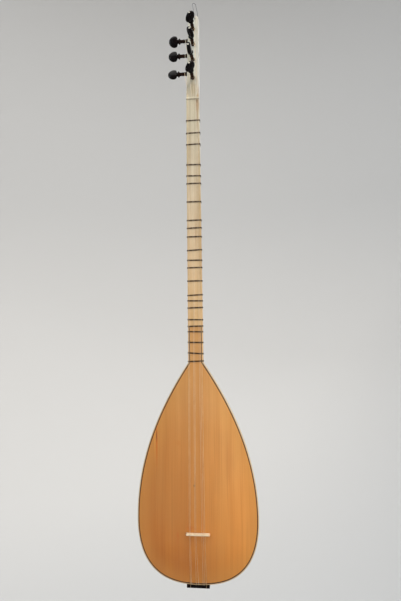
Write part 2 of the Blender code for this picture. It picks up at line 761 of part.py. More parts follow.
def loop_route():
    x, z = HANG_HOLE
    hang = Vector((0.0, -FACE_Y, -NUT_Z))
    out = Vector((0, -math.cos(HEAD_TILT), math.sin(HEAD_TILT)))
    up = Vector((0, math.sin(HEAD_TILT), math.cos(HEAD_TILT)))
    mouth = Vector((x, face_y(z), z))

    def near(side, s, t):
        return mouth + out * s + up * t + Vector((side, 0, 0))

    front = [near(0, -8.2, 0), near(0, -4.0, 0), near(0, -0.4, 0.1), near(-0.5, 2.3, 1.5), near(-1.4, 3.3, 5.2),
             near(-2.6, 3.0, 10.5), Vector((-1.2, hang.y - 6.5, z + 22.0)), Vector((-3.6, hang.y - 1.6, hang.z - 6.4))]
    back = [Vector((3.6, hang.y + 1.6, hang.z - 6.4)), Vector((5.0, hang.y + 6.5, z + 22.0)), near(1.9, -20.2, 10.5),
            near(1.4, -20.5, 5.2), near(0.5, -19.5, 1.5), near(0, -16.8, 0.1), near(0, -13.2, 0), near(0, -9.0, 0)]
    top = [Vector((-2.7, hang.y - 0.7, hang.z - 2.4)), Vector((0.0, hang.y, hang.z - CORD / 2)),
           Vector((2.7, hang.y + 0.7, hang.z - 2.4))]
    return smooth_route(front + top + back, 2)


def build_loop():
    tube("hanging_loop", loop_route(), CORD / 2, 2, material("grey_cord", (0.45, 0.46, 0.47), 0.6))


clear_scene()
FRAME = bpy.data.objects.new("neck_frame", None)
bpy.context.scene.collection.objects.link(FRAME)
FRAME.location = Vector((0.0, FACE_Y, NUT_Z)) * MM

build_neck()
build_nut()
build_tongue()
build_frets()
build_pegs()
build_board()
build_brace()
build_bowl()
build_bridge()
build_tailpiece()
build_strings()
build_loop()
bpy.context.view_layer.update()
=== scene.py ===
import math

import bmesh
import bpy
from mathutils import Matrix, Vector


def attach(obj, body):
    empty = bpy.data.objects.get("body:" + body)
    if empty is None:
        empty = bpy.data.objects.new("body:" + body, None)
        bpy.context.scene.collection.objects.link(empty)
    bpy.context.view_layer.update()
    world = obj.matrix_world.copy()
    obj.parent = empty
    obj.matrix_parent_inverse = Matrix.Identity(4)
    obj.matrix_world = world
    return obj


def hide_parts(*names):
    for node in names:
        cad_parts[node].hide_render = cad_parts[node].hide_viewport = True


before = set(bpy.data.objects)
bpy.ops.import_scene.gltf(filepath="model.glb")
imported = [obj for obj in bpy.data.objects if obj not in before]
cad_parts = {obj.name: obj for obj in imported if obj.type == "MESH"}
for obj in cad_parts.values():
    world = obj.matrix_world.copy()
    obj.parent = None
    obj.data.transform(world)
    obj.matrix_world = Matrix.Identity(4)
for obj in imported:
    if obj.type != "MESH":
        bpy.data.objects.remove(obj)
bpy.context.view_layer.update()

# Shapes are worked out in millimetres in the neck frame: x to the treble side, y from the face to
# the back, z along the neck, with the origin in the middle of the nut on the fingerboard plane.
MM = 0.001
FACE_Y, NUT_Z = -35.0, -238.0

JOINT_Z, TAIL_Z = -551.5, -985.6
RIM = ((15.6, JOINT_Z), (84.4, -654.2), (121.2, -753.0), (121.2, -858.1))
RIM_TAIL = ((121.2, -858.1), (121.2, -983.1), (35.5, TAIL_Z), (0.0, TAIL_Z))
KEEL = ((27.0, JOINT_Z), (66.0, -640.0), (140.0, -725.0), (140.0, -842.0))
KEEL_TAIL = ((140.0, -842.0), (140.0, -925.0), (96.0, TAIL_Z), (0.0, TAIL_Z))
OUTLINE, PROFILE = (RIM, RIM_TAIL), (KEEL, KEEL_TAIL)
STAVES, STAVE_THICK, CAP_U = 9, 3.0, 1.75
BOARD_THICK, BOARD_ARCH, BOARD_TOP, RABBET = 3.2, 1.6, (0.0, -850.0), 1.6
UNDER = 3.5
HOLE_R, HOLE_Y = 6.5, 19.0
TILT = math.radians(8.0)
TONGUE_SIDE, TONGUE_TOP, TONGUE_DEEP = 11.4, -477.1, 1.3
LINE_IN = 3.85                                           # inner side of the dark line, from the rim
SCALE = 880.0
FRETS = (((19, 18), 0.2), ((12, 11), 0.8), ((9, 8), 0.3), ((81, 68), -1.2), ((16, 13), -1.5), ((34, 27), 0.3),
         ((4, 3), -0.4), ((17, 12), 0.8), ((16, 11), 1.3), ((3, 2), 0.0), ((63, 40), 2.6), ((18, 11), -0.1),
         ((32, 19), 0.8), ((16, 9), 0.3), ((17, 9), 2.4), ((31, 16), -1.0), ((2, 1), 1.6), ((36, 17), -1.1),
         ((35, 16), 1.0), ((9, 4), -0.8), ((81, 34), -0.7), ((38, 15), -3.6), ((85, 32), 1.7))
PEG_FACE = ((168.6, 45.0, 3.7), (130.9, 122.0, 2.6), (93.0, 90.0, 6.0), (49.4, 42.0, 2.8))
PEG_SIDE = ((146.0, 0.0, 0.0), (109.2, 12.0, 0.0), (65.0, 22.0, 0.0))
FACE_SHANK = 4.5
PEG_SIDE_DEEP = 7.8
BRIDGE_Z, BRIDGE_X, BRIDGE_HALF, BRIDGE_TOP, NUT_TOP = -887.4, 1.0, 23.8, -9.2, -1.9
TAILPIECE = (22.6, -1.8, 9.2, -990.9)
STRING_AT_NUT = (-10.8, -8.7, -1.4, 1.3, 6.6, 8.8, 11.0)
STRING_AT_BRIDGE = (-15.6, -13.5, -4.7, -2.5, 9.0, 12.1, 15.2)
STRING_AT_TAIL = (-15.2, -12.9, -3.9, 0.8, 9.6, 12.8, 16.2)
STRING_R = (0.30, 0.18, 0.22, 0.18, 0.18, 0.18, 0.30)
STRING_PEG = (("side", 2), ("side", 1), ("side", 0), ("face", 3), ("face", 2), ("face", 1), ("face", 0))
WIND_HEIGHT = 5.4
CORD, HANG_HOLE = 1.0, (4.0, 195.0)
OUT = Vector((0.0, -math.cos(TILT), math.sin(TILT)))     # out of the peghead's face
UP = Vector((0.0, math.sin(TILT), math.cos(TILT)))       # up the peghead's face


def peg_base(kind, index):
    """Where a peg's axis leaves the wood, and the axis."""
    z, _, lean = (PEG_FACE if kind == "face" else PEG_SIDE)[index]
    if kind == "side":
        return Vector((-head_half(z), face_y(z) + PEG_SIDE_DEEP, z)), Vector((-1, 0, 0))
    a = math.radians(lean)
    return Vector((0, face_y(z), z)), Vector((-math.sin(a), OUT.y * math.cos(a), OUT.z * math.cos(a)))


def row(p):
    """Millimetres in the neck frame to metres in the row frame."""
    return Vector((p[0] * MM, (p[1] + FACE_Y) * MM, (p[2] + NUT_Z) * MM))


# ---------------------------------------------------------------- camera

def make_camera():
    yaw, pitch, roll = math.radians(5.56), math.radians(3.72), math.radians(-0.72)
    fwd = Vector((-math.sin(yaw) * math.cos(pitch), math.cos(yaw) * math.cos(pitch), math.sin(pitch)))
    right = Vector((math.cos(yaw), math.sin(yaw), 0.0))
    up = right.cross(fwd)
    r2 = right * math.cos(roll) + up * math.sin(roll)
    u2 = up * math.cos(roll) - right * math.sin(roll)
    rot = Matrix((r2, u2, -fwd)).transposed().to_4x4()
    data = bpy.data.cameras.new("camera")
    data.sensor_fit, data.sensor_width, data.lens = 'AUTO', 36.0, 27.045
    data.clip_start, data.clip_end = 0.01, 100.0
    cam = bpy.data.objects.new("camera", data)
    bpy.context.scene.collection.objects.link(cam)
    cam.matrix_world = Matrix.Translation(row((100.5, -916.1, -485.3))) @ rot
    bpy.context.scene.camera = cam


make_camera()


# ---------------------------------------------------------------- materials

class Shade:
    """Adds nodes to one material, a socket at a time."""

    def __init__(self, name):
        self.mat = bpy.data.materials.new(name)
        self.mat.use_nodes = True
        self.tree = self.mat.node_tree
        self.bsdf = self.tree.nodes["Principled BSDF"]

    def node(self, kind, **props):
        n = self.tree.nodes.new(kind)
        for key, value in props.items():
            setattr(n, key, value)
        return n

    def link(self, a, b):
        self.tree.links.new(a, b)

    def feed(self, value, socket):
        if isinstance(value, bpy.types.NodeSocket):
            self.link(value, socket)
        elif isinstance(value, (tuple, list)) and len(value) == 3 and socket.type == 'RGBA':
            socket.default_value = (*value, 1.0)
        else:
            socket.default_value = value

    def coords(self, source):
        if source == "object":
            return self.node("ShaderNodeTexCoord").outputs["Object"]
        return self.node("ShaderNodeAttribute", attribute_name=source).outputs["Vector"]

    def attribute(self, name):
        return self.node("ShaderNodeAttribute", attribute_name=name).outputs["Fac"]

    def stretch(self, vec, mm, shift=(0.0, 0.0, 0.0), turn=(0.0, 0.0, 0.0)):
        """Coordinates where one unit is mm[i] millimetres along each axis."""
        n = self.node("ShaderNodeMapping", vector_type='POINT')
        self.link(vec, n.inputs["Vector"])
        n.inputs["Scale"].default_value = tuple(1000.0 / m for m in mm)
        n.inputs["Location"].default_value = shift
        n.inputs["Rotation"].default_value = turn
        return n.outputs["Vector"]

    def noise(self, vec, detail=2.0, rough=0.5, warp=0.0):
        n = self.node("ShaderNodeTexNoise")
        self.link(vec, n.inputs["Vector"])
        n.inputs["Scale"].default_value = 1.0
        n.inputs["Detail"].default_value = detail
        n.inputs["Roughness"].default_value = rough
        n.inputs["Distortion"].default_value = warp
        return n.outputs["Fac"]

    def math(self, op, a, b=0.0, clamp=False):
        n = self.node("ShaderNodeMath", operation=op, use_clamp=clamp)
        self.feed(a, n.inputs[0])
        self.feed(b, n.inputs[1])
        return n.outputs[0]

    def vmath(self, op, a, b=(0.0, 0.0, 0.0)):
        n = self.node("ShaderNodeVectorMath", operation=op)
        self.feed(a, n.inputs[0])
        if op == 'SCALE':
            self.feed(b, n.inputs["Scale"])
        else:
            self.feed(b, n.inputs[1])
        return n.outputs["Value" if op in ('LENGTH', 'DISTANCE', 'DOT_PRODUCT') else "Vector"]

    def span(self, value, low, high, to_low=0.0, to_high=1.0, kind='SMOOTHSTEP'):
        n = self.node("ShaderNodeMapRange", interpolation_type=kind)
        self.feed(value, n.inputs["Value"])
        n.inputs["From Min"].default_value = low
        n.inputs["From Max"].default_value = high
        n.inputs["To Min"].default_value = to_low
        n.inputs["To Max"].default_value = to_high
        return n.outputs["Result"]

    def mix(self, fac, a, b, blend='MIX'):
        n = self.node("ShaderNodeMix", data_type='RGBA', blend_type=blend)
        self.feed(fac, n.inputs[0])
        self.feed(a, n.inputs[6])
        self.feed(b, n.inputs[7])
        return n.outputs[2]

    def split(self, vec):
        n = self.node("ShaderNodeSeparateXYZ")
        self.link(vec, n.inputs[0])
        return n.outputs

    def join(self, x, y, z):
        n = self.node("ShaderNodeCombineXYZ")
        for value, socket in zip((x, y, z), n.inputs):
            self.feed(value, socket)
        return n.outputs[0]

    def blob(self, vec, centre, mm, soft=0.5):
        """1 inside an ellipsoid round a point of the neck frame, falling to 0 at its edge."""
        c = row(centre)
        d = self.vmath('SUBTRACT', vec, tuple(c))
        d = self.vmath('MULTIPLY', d, tuple(1000.0 / m for m in mm))
        return self.span(self.vmath('LENGTH', d), soft, 1.0, 1.0, 0.0)

    def bump(self, height, strength, mm=0.1):
        n = self.node("ShaderNodeBump")
        n.inputs["Strength"].default_value = strength
        n.inputs["Distance"].default_value = mm * MM
        self.link(height, n.inputs["Height"])
        self.link(n.outputs["Normal"], self.bsdf.inputs["Normal"])

    def set(self, **values):
        for key, value in values.items():
            self.feed(value, self.bsdf.inputs[key.replace("_", " ")])
        return self


def wood_grain(s, source, lines=1.2, seed=0.0, lean=0.35, wander=2.0):
    """Masks of straight-grained wood along z: broad bands, streaks, growth lines and fine fibres."""
    vec = s.vmath('ADD', s.coords(source), (seed * 0.137, seed * 0.071, seed * 0.293))
    drift = s.noise(s.stretch(vec, (60.0, 60.0, 170.0)), 1.0)
    x, y, z = s.split(vec)
    across = s.math('ADD', x, s.math('MULTIPLY', y, lean))
    across = s.math('ADD', across, s.math('MULTIPLY', s.math('SUBTRACT', drift, 0.5), wander * MM * 4.0))
    flat = s.join(across, s.math('MULTIPLY', y, 0.15), z)
    bands = s.noise(s.stretch(flat, (17.0, 60.0, 420.0)), 2.0, 0.55)
    streaks = s.noise(s.stretch(flat, (3.4, 30.0, 190.0)), 3.0, 0.6)
    growth = s.noise(s.stretch(flat, (lines, 16.0, 260.0)), 1.0, 0.5)
    fibres = s.noise(s.stretch(flat, (0.28, 0.6, 9.0)), 2.0, 0.6)
    return vec, bands, streaks, growth, fibres


def pale_wood(name, base, source="object", seed=0.0, warm=None, seam=False, tone=1.0, marks_and_painted_light=False):
    """Light close-grained hardwood under a thin satin varnish."""
    s = Shade(name)
    vec, bands, streaks, growth, fibres = wood_grain(s, source, 1.0, seed, 0.5, 2.5)
    light = tuple(min(c * tone, 1.0) for c in base)
    dark = (light[0] * 0.80, light[1] * 0.72, light[2] * 0.60)
    colour = s.mix(s.span(bands, 0.36, 0.66), light, dark)
    colour = s.mix(s.math('MULTIPLY', s.span(streaks, 0.52, 0.76), 0.55), colour,
                   (light[0] * 0.66, light[1] * 0.52, light[2] * 0.36))
    colour = s.mix(s.math('MULTIPLY', s.span(growth, 0.50, 0.80), 0.28), colour,
                   (light[0] * 0.62, light[1] * 0.50, light[2] * 0.36))
    pores = s.noise(s.stretch(vec, (0.35, 0.35, 5.5)), 1.0, 0.5)
    fleck = s.span(pores, 0.66, 0.74)
    colour = s.mix(s.math('MULTIPLY', fleck, 0.35), colour, (light[0] * 0.5, light[1] * 0.38, light[2] * 0.25))
    # painted light: the warm tint stands in for the warm light falling on the neck towards the bowl
    if warm is not None:
        low, high, tint = warm
        z = s.split(s.coords("object"))[2]
        colour = s.mix(s.span(z, low * MM, high * MM, 1.0, 0.0, 'LINEAR'), colour, s.mix(1.0, colour, tint, 'MULTIPLY'))
    if marks_and_painted_light:
        place = s.coords("object")
        z = s.split(place)[2]
        # painted light: paler and cooler from the upper neck upwards, for the cool light from above
        colour = s.mix(s.span(z, (NUT_Z - 120.0) * MM, (NUT_Z - 15.0) * MM), colour,
                       s.mix(1.0, colour, (1.13, 1.15, 1.19), 'MULTIPLY'))
        # painted light: the peghead is painted darker and cooler than the neck for the cool light on it, cooler still
        # towards its top
        colour = s.mix(s.span(z, (NUT_Z - 12.0) * MM, (NUT_Z + 26.0) * MM), colour,
                       s.mix(1.0, colour, (0.80, 0.815, 0.86), 'MULTIPLY'))
        colour = s.mix(s.span(z, (NUT_Z + 30.0) * MM, (NUT_Z + 90.0) * MM), colour,
                       s.mix(1.0, colour, (0.97, 1.01, 1.05), 'MULTIPLY'))
        for centre, size, share, tone in (((9.4, 0.0, -13.0), (4.0, 6.0, 27.0), 0.95, (0.40, 0.215, 0.095)),
                                          ((9.4, 0.0, -42.0), (2.4, 6.0, 40.0), 0.75, (0.42, 0.25, 0.12)),
                                          ((9.0, 0.0, -4.5), (3.0, 6.0, 6.0), 0.95, (0.22, 0.11, 0.035)),
                                          ((13.4, 6.0, -15.0), (3.4, 17.0, 30.0), 0.66, (0.40, 0.26, 0.15)),
                                          ((10.6, 2.0, 6.5), (3.2, 8.0, 9.0), 0.80, (0.50, 0.28, 0.12)),
                                          ((13.2, 4.0, 15.0), (3.0, 14.0, 22.0), 0.70, (0.50, 0.37, 0.27)),
                                          ((11.6, 0.0, -80.0), (1.6, 8.0, 60.0), 0.42, (0.40, 0.25, 0.13)),
                                          ((8.8, 0.0, -81.0), (1.2, 4.0, 9.0), 0.70, (0.26, 0.15, 0.075)),
                                          ((2.4, 0.0, -290.0), (1.3, 5.0, 38.0), 0.45, (0.48, 0.27, 0.18)),
                                          ((0.6, 4.0, 23.0), (11.5, 17.0, 27.0), 0.84, (0.45, 0.355, 0.22))):
            spot = s.blob(place, centre, size, 0.15)
            colour = s.mix(s.math('MULTIPLY', spot, share), colour, tone)
    if seam:
        edge = s.attribute("seam")
        glue = s.span(edge, 0.25, 0.55, 1.0, 0.0)
        colour = s.mix(s.math('MULTIPLY', glue, 0.75), colour, (0.20, 0.12, 0.06))
    handled = s.noise(s.stretch(vec, (45.0, 45.0, 70.0)), 3.0, 0.6)
    s.set(Base_Color=colour, Roughness=s.span(handled, 0.3, 0.7, 0.34, 0.50),
          Coat_Weight=0.22, Coat_Roughness=0.22, Specular_IOR_Level=0.45)
    relief = s.math('ADD', s.math('MULTIPLY', growth, 0.35), s.math('MULTIPLY', fibres, 0.35))
    relief = s.math('SUBTRACT', relief, s.math('MULTIPLY', fleck, 0.5))
    s.bump(relief, 0.18, 0.06)
    return s.mat


def top_wood(name, board=True):
    """Amber softwood soundboard: straight growth lines, tone bands and a few natural marks."""
    s = Shade(name)
    vec, bands, streaks, growth, fibres = wood_grain(s, "object", 1.5, 3.0 if board else 5.0, 0.2, 1.2)
    light, mid, dark = (0.745, 0.416, 0.162), (0.680, 0.348, 0.119), (0.490, 0.212, 0.049)
    colour = s.mix(s.span(bands, 0.30, 0.70), light, mid)
    colour = s.mix(s.math('MULTIPLY', s.span(streaks, 0.50, 0.80), 0.34), colour, dark)
    colour = s.mix(s.math('MULTIPLY', s.span(streaks, 0.50, 0.24), 0.22), colour, (0.72, 0.44, 0.18))
    colour = s.mix(s.math('MULTIPLY', s.span(growth, 0.48, 0.80), 0.30), colour, dark)
    place = s.coords("object")
    x, y, z = s.split(place)
    if board:
        # painted light: the left half is painted darker and the right half lighter, as the warm light from the right
        # falls off across the board
        half = s.span(x, -0.085, 0.085, 0.0, 1.0, 'LINEAR')
        colour = s.mix(half, s.mix(1.0, colour, (0.80, 0.61, 0.37), 'MULTIPLY'),
                       s.mix(1.0, colour, (1.20, 1.09, 0.93), 'MULTIPLY'))
        # painted shade: darker and more saturated towards the tail, where the light falls off
        low = s.span(z, (NUT_Z - 985.0) * MM, (NUT_Z - 600.0) * MM, 1.0, 0.0, 'LINEAR')
        colour = s.mix(low, colour, s.mix(1.0, colour, (0.85, 0.61, 0.21), 'MULTIPLY'))
        # painted shade: darker still between the bridge and the tail
        tail = s.span(z, (NUT_Z - 975.0) * MM, (NUT_Z - 903.0) * MM, 1.0, 0.0, 'LINEAR')
        colour = s.mix(tail, colour, s.mix(1.0, colour, (0.79, 0.74, 0.53), 'MULTIPLY'))
        # painted light: paler and cooler towards the neck, where the cool light from above reaches
        high = s.span(z, (NUT_Z - 690.0) * MM, (NUT_Z - 560.0) * MM, 0.0, 1.0, 'LINEAR')
        colour = s.mix(high, colour, s.mix(1.0, colour, (1.02, 1.10, 1.36), 'MULTIPLY'))
        # honey tone towards the edge
        rim = s.span(s.attribute("edge"), 0.72, 1.0)
        colour = s.mix(s.math('MULTIPLY', rim, 0.35), colour, (0.66, 0.30, 0.060))
        resin = s.blob(place, (-81.1, 0.0, -712.0), (2.9, 8.0, 72.0), 0.05)
        colour = s.mix(s.math('MULTIPLY', resin, 0.92), colour, (0.60, 0.150, 0.012))
        resin = s.blob(place, (-85.2, 0.0, -700.0), (2.4, 8.0, 60.0), 0.05)
        colour = s.mix(s.math('MULTIPLY', resin, 0.50), colour, (0.80, 0.33, 0.055))
        resin = s.blob(place, (-81.3, 0.0, -699.0), (1.5, 8.0, 16.0), 0.2)
        colour = s.mix(s.math('MULTIPLY', resin, 0.70), colour, (0.13, 0.045, 0.020))
        resin = s.blob(place, (-81.6, 0.0, -765.0), (0.9, 8.0, 45.0), 0.1)
        colour = s.mix(s.math('MULTIPLY', resin, 0.40), colour, (0.40, 0.14, 0.03))
        knot = s.blob(place, (-5.9, 0.0, -794.7), (2.0, 8.0, 2.9), 0.25)
        colour = s.mix(s.math('MULTIPLY', knot, 0.85), colour, (0.11, 0.035, 0.012))
        halo = s.blob(place, (-5.6, 0.0, -794.7), (3.4, 8.0, 9.0), 0.1)
        colour = s.mix(s.math('MULTIPLY', halo, 0.25), colour, (0.42, 0.19, 0.05))
        for centre, size, share in (((-39.5, 0.0, -891.0), (5.0, 8.0, 11.0), 0.85),
                                    ((-40.0, 0.0, -903.0), (3.4, 8.0, 8.0), 0.40),
                                    ((-14.5, 0.0, -876.5), (10.5, 8.0, 6.0), 0.80),
                                    ((-37.0, 0.0, -712.0), (7.0, 8.0, 8.0), 0.20),
                                    ((-88.0, 0.0, -805.0), (10.0, 8.0, 30.0), 0.12),
                                    ((62.0, 0.0, -742.0), (14.0, 8.0, 60.0), 0.12)):
            spot = s.blob(place, centre, size, 0.1)
            colour = s.mix(s.math('MULTIPLY', spot, share), colour, (0.56, 0.15, 0.018))
    cloud = s.noise(s.stretch(vec, (60.0, 60.0, 130.0)), 3.0, 0.6)
    colour = s.mix(s.span(cloud, 0.30, 0.72, 0.0, 0.22), colour, (0.50, 0.235, 0.065))
    handled = s.noise(s.stretch(vec, (38.0, 38.0, 60.0)), 3.0, 0.6)
    s.set(Base_Color=colour, Roughness=s.span(handled, 0.3, 0.7, 0.36, 0.50),
          Coat_Weight=0.25, Coat_Roughness=0.25, Specular_IOR_Level=0.45)
    relief = s.math('ADD', s.math('MULTIPLY', growth, 0.6), s.math('MULTIPLY', fibres, 0.25))
    s.bump(relief, 0.20, 0.06)
    return s.mat


def dark_veneer():
    s = Shade("purfling_veneer")
    vec, bands, streaks, growth, fibres = wood_grain(s, "object", 0.8, 7.0, 0.3, 1.0)
    colour = s.mix(s.span(streaks, 0.35, 0.70), (0.072, 0.019, 0.0060), (0.032, 0.0090, 0.0034))
    colour = s.mix(s.math('MULTIPLY', s.span(bands, 0.50, 0.75), 0.4), colour, (0.110, 0.032, 0.010))
    s.set(Base_Color=colour, Roughness=s.span(fibres, 0.3, 0.7, 0.38, 0.52), Specular_IOR_Level=0.30)
    s.bump(fibres, 0.15, 0.04)
    return s.mat


def black_wood(name, seed=0.0, gloss=0.09):
    """Dyed, polished hardwood: nearly black, with brown showing through along the grain and at worn edges."""
    s = Shade(name)
    vec = s.vmath('ADD', s.coords("object"), (seed * 0.031, seed * 0.017, seed * 0.043))
    grain = s.noise(s.stretch(vec, (1.1, 1.1, 14.0)), 3.0, 0.6)
    cloud = s.noise(s.stretch(vec, (7.0, 7.0, 16.0)), 2.0, 0.5)
    colour = s.mix(s.span(grain, 0.45, 0.72), (0.0038, 0.0032, 0.0036), (0.0100, 0.0050, 0.0042))
    colour = s.mix(s.math('MULTIPLY', s.span(cloud, 0.45, 0.7), 0.5), colour, (0.0085, 0.0042, 0.0042))
    point = s.node("ShaderNodeNewGeometry").outputs["Pointiness"]
    wear = s.math('MULTIPLY', s.span(point, 0.53, 0.60), s.span(cloud, 0.40, 0.62))
    colour = s.mix(s.math('MULTIPLY', wear, 0.55), colour, (0.10, 0.045, 0.022))
    smear = s.noise(s.stretch(vec, (5.0, 5.0, 8.0)), 3.0, 0.65)
    s.set(Base_Color=colour, Roughness=s.span(smear, 0.40, 0.72, gloss, gloss + 0.10),
          Specular_IOR_Level=0.06)
    s.bump(grain, 0.08, 0.03)
    return s.mat


def peg_wood(name, seed, tip, redness):
    """The shank is a little redder than the head, and a pale pip is set in the tip of the head."""
    mat = black_wood(name, seed)
    tree = mat.node_tree
    bsdf = tree.nodes["Principled BSDF"]
    old = bsdf.inputs["Base Color"].links[0].from_socket
    s = Shade.__new__(Shade)
    s.mat, s.tree, s.bsdf = mat, tree, bsdf
    z = s.split(s.coords("object"))[2]
    low = s.span(z, 10.0 * MM, 24.0 * MM, 1.0, 0.0)
    grain = s.noise(s.stretch(s.coords("object"), (1.6, 1.6, 18.0), (seed, 0.0, 0.0)), 2.0, 0.6)
    red = s.mix(s.span(grain, 0.35, 0.70), (0.050, 0.016, 0.006), (0.016, 0.006, 0.003))
    colour = s.mix(s.math('MULTIPLY', low, redness), old, red)
    stain = s.noise(s.stretch(s.coords("object"), (0.9, 0.9, 0.9), (seed, 0.0, 0.0)), 2.0, 0.6)
    pip = s.mix(s.span(stain, 0.35, 0.70), (0.76, 0.73, 0.64), (0.58, 0.52, 0.40))
    s.set(Base_Color=s.mix(s.span(z, (tip - 0.88) * MM, (tip - 0.80) * MM), colour, pip))
    return mat


def bone():
    s = Shade("nut_bone")
    vec = s.coords("object")
    cloud = s.noise(s.stretch(vec, (5.0, 3.0, 3.0)), 3.0, 0.6)
    fleck = s.noise(s.stretch(vec, (2.4, 0.5, 0.5)), 2.0, 0.6)
    colour = s.mix(s.span(cloud, 0.3, 0.7), (0.70, 0.64, 0.50), (0.62, 0.54, 0.39))
    colour = s.mix(s.math('MULTIPLY', s.span(fleck, 0.60, 0.74), 0.4), colour, (0.50, 0.40, 0.26))
    # painted shade along the lower edge, where the nut's underside is in shadow
    y, z = s.split(vec)[1:3]
    under = s.math('MULTIPLY', s.span(z, (NUT_Z + 0.25) * MM, (NUT_Z + 0.75) * MM, 1.0, 0.0),
                   s.span(y, (FACE_Y - 1.35) * MM, (FACE_Y - 0.75) * MM))
    colour = s.mix(s.math('MULTIPLY', under, 0.85), colour, (0.13, 0.070, 0.035))
    s.set(Base_Color=colour, Roughness=s.span(cloud, 0.3, 0.7, 0.28, 0.42), Coat_Weight=0.1, Coat_Roughness=0.15)
    s.bump(fleck, 0.12, 0.04)
    return s.mat


def bridge_wood():
    s = Shade("bridge_maple")
    vec = s.coords("object")
    grain = s.noise(s.stretch(vec, (26.0, 0.7, 0.7)), 3.0, 0.6)
    cloud = s.noise(s.stretch(vec, (9.0, 4.0, 4.0)), 2.0, 0.5)
    rays = s.noise(s.stretch(vec, (1.6, 0.35, 0.35)), 1.0, 0.5)
    colour = s.mix(s.span(grain, 0.35, 0.68), (0.86, 0.74, 0.55), (0.74, 0.57, 0.36))
    colour = s.mix(s.math('MULTIPLY', s.span(rays, 0.62, 0.74), 0.35), colour, (0.60, 0.42, 0.24))
    colour = s.mix(s.math('MULTIPLY', s.span(cloud, 0.45, 0.7), 0.25), colour, (0.80, 0.60, 0.36))
    # painted light: the right end is painted warm orange where the warm light falls on it, and the left end dark as its
    # shaded side
    x = s.split(vec)[0]
    ends = s.span(x, (BRIDGE_X + 19.0) * MM, (BRIDGE_X + 23.5) * MM)
    colour = s.mix(s.math('MULTIPLY', ends, 0.6), colour, (0.86, 0.44, 0.17))
    ends = s.span(x, (BRIDGE_X - 22.2) * MM, (BRIDGE_X - 23.6) * MM)
    colour = s.mix(s.math('MULTIPLY', ends, 0.85), colour, (0.11, 0.055, 0.028))
    s.set(Base_Color=colour, Roughness=s.span(cloud, 0.3, 0.7, 0.38, 0.52), Coat_Weight=0.1, Coat_Roughness=0.3)
    s.bump(grain, 0.15, 0.05)
    return s.mat


def raw_wood(name, light, dark, seed):
    s = Shade(name)
    vec, bands, streaks, growth, fibres = wood_grain(s, "object", 1.6, seed, 0.4, 2.0)
    colour = s.mix(s.span(bands, 0.35, 0.65), light, dark)
    colour = s.mix(s.math('MULTIPLY', s.span(growth, 0.5, 0.78), 0.4), colour, tuple(c * 0.65 for c in dark))
    s.set(Base_Color=colour, Roughness=s.span(fibres, 0.3, 0.7, 0.62, 0.78))
    s.bump(fibres, 0.3, 0.08)
    return s.mat


def nylon():
    s = Shade("fret_nylon")
    vec = s.coords("object")
    cloud = s.noise(s.stretch(vec, (4.0, 4.0, 1.2)), 2.0, 0.5)
    worn = s.noise(s.stretch(vec, (1.5, 1.5, 1.5)), 3.0, 0.6)
    colour = s.mix(s.span(cloud, 0.3, 0.7), (0.075, 0.036, 0.012), (0.040, 0.018, 0.007))
    colour = s.mix(s.math('MULTIPLY', s.span(worn, 0.62, 0.75), 0.4), colour, (0.16, 0.080, 0.032))
    s.set(Base_Color=colour, Roughness=s.span(worn, 0.3, 0.7, 0.30, 0.44), Specular_IOR_Level=0.34)
    s.bump(worn, 0.12, 0.03)
    return s.mat


def steel(name, light, dark, rough, wound=None):
    s = Shade(name)
    vec = s.coords("object")
    tarnish = s.noise(s.stretch(vec, (8.0, 8.0, 26.0)), 3.0, 0.65)
    colour = s.mix(s.span(tarnish, 0.35, 0.70), light, dark)
    s.set(Base_Color=colour, Metallic=1.0, Roughness=s.span(tarnish, 0.3, 0.7, rough, rough + 0.14))
    if wound:
        n = s.node("ShaderNodeTexWave", wave_type='BANDS', bands_direction='Z', wave_profile='SIN')
        s.link(s.stretch(vec, (1.0, 1.0, wound)), n.inputs["Vector"])
        n.inputs["Scale"].default_value = 0.314
        s.bump(n.outputs["Fac"], 0.5, 0.05)
    else:
        s.bump(tarnish, 0.05, 0.02)
    return s.mat


def grey_cord():
    s = Shade("loop_cord")
    vec = s.coords("object")
    n = s.node("ShaderNodeTexWave", wave_type='BANDS', bands_direction='DIAGONAL', wave_profile='SIN')
    s.link(s.stretch(vec, (1.0, 1.0, 1.0)), n.inputs["Vector"])
    n.inputs["Scale"].default_value = 0.7
    n.inputs["Distortion"].default_value = 1.0
    fuzz = s.noise(s.stretch(vec, (0.3, 0.3, 0.3)), 2.0, 0.6)
    colour = s.mix(n.outputs["Fac"], (0.080, 0.086, 0.098), (0.160, 0.168, 0.185))
    s.set(Base_Color=colour, Roughness=s.span(fuzz, 0.3, 0.7, 0.60, 0.80), Sheen_Weight=0.3, Sheen_Roughness=0.5)
    s.bump(s.math('ADD', n.outputs["Fac"], s.math('MULTIPLY', fuzz, 0.5)), 0.5, 0.12)
    return s.mat


# ---------------------------------------------------------------- mesh helpers

def build(name, rings, caps=True, loop=False):
    """Closed skin over rings of equal length, given in millimetres of the neck frame."""
    count = len(rings[0])
    verts = [row(p) for ring in rings for p in ring]
    return stitch(name, verts, len(rings), count, caps, loop)


def stitch(name, verts, rows, count, caps=True, loop=False):
    faces = []
    for r in range(rows if loop else rows - 1):
        a, b = r * count, ((r + 1) % rows) * count
        for i in range(count):
            j = (i + 1) % count
            faces.append((a + i, a + j, b + j, b + i))
    if caps and not loop:
        faces.append(tuple(range(count - 1, -1, -1)))
        last = (rows - 1) * count
        faces.append(tuple(range(last, last + count)))
    mesh = bpy.data.meshes.new(name)
    mesh.from_pydata([tuple(v) for v in verts], [], faces)
    outwards(mesh)
    return mesh


def outwards(mesh):
    bm = bmesh.new()
    bm.from_mesh(mesh)
    bmesh.ops.recalc_face_normals(bm, faces=bm.faces)
    bm.to_mesh(mesh)
    bm.free()


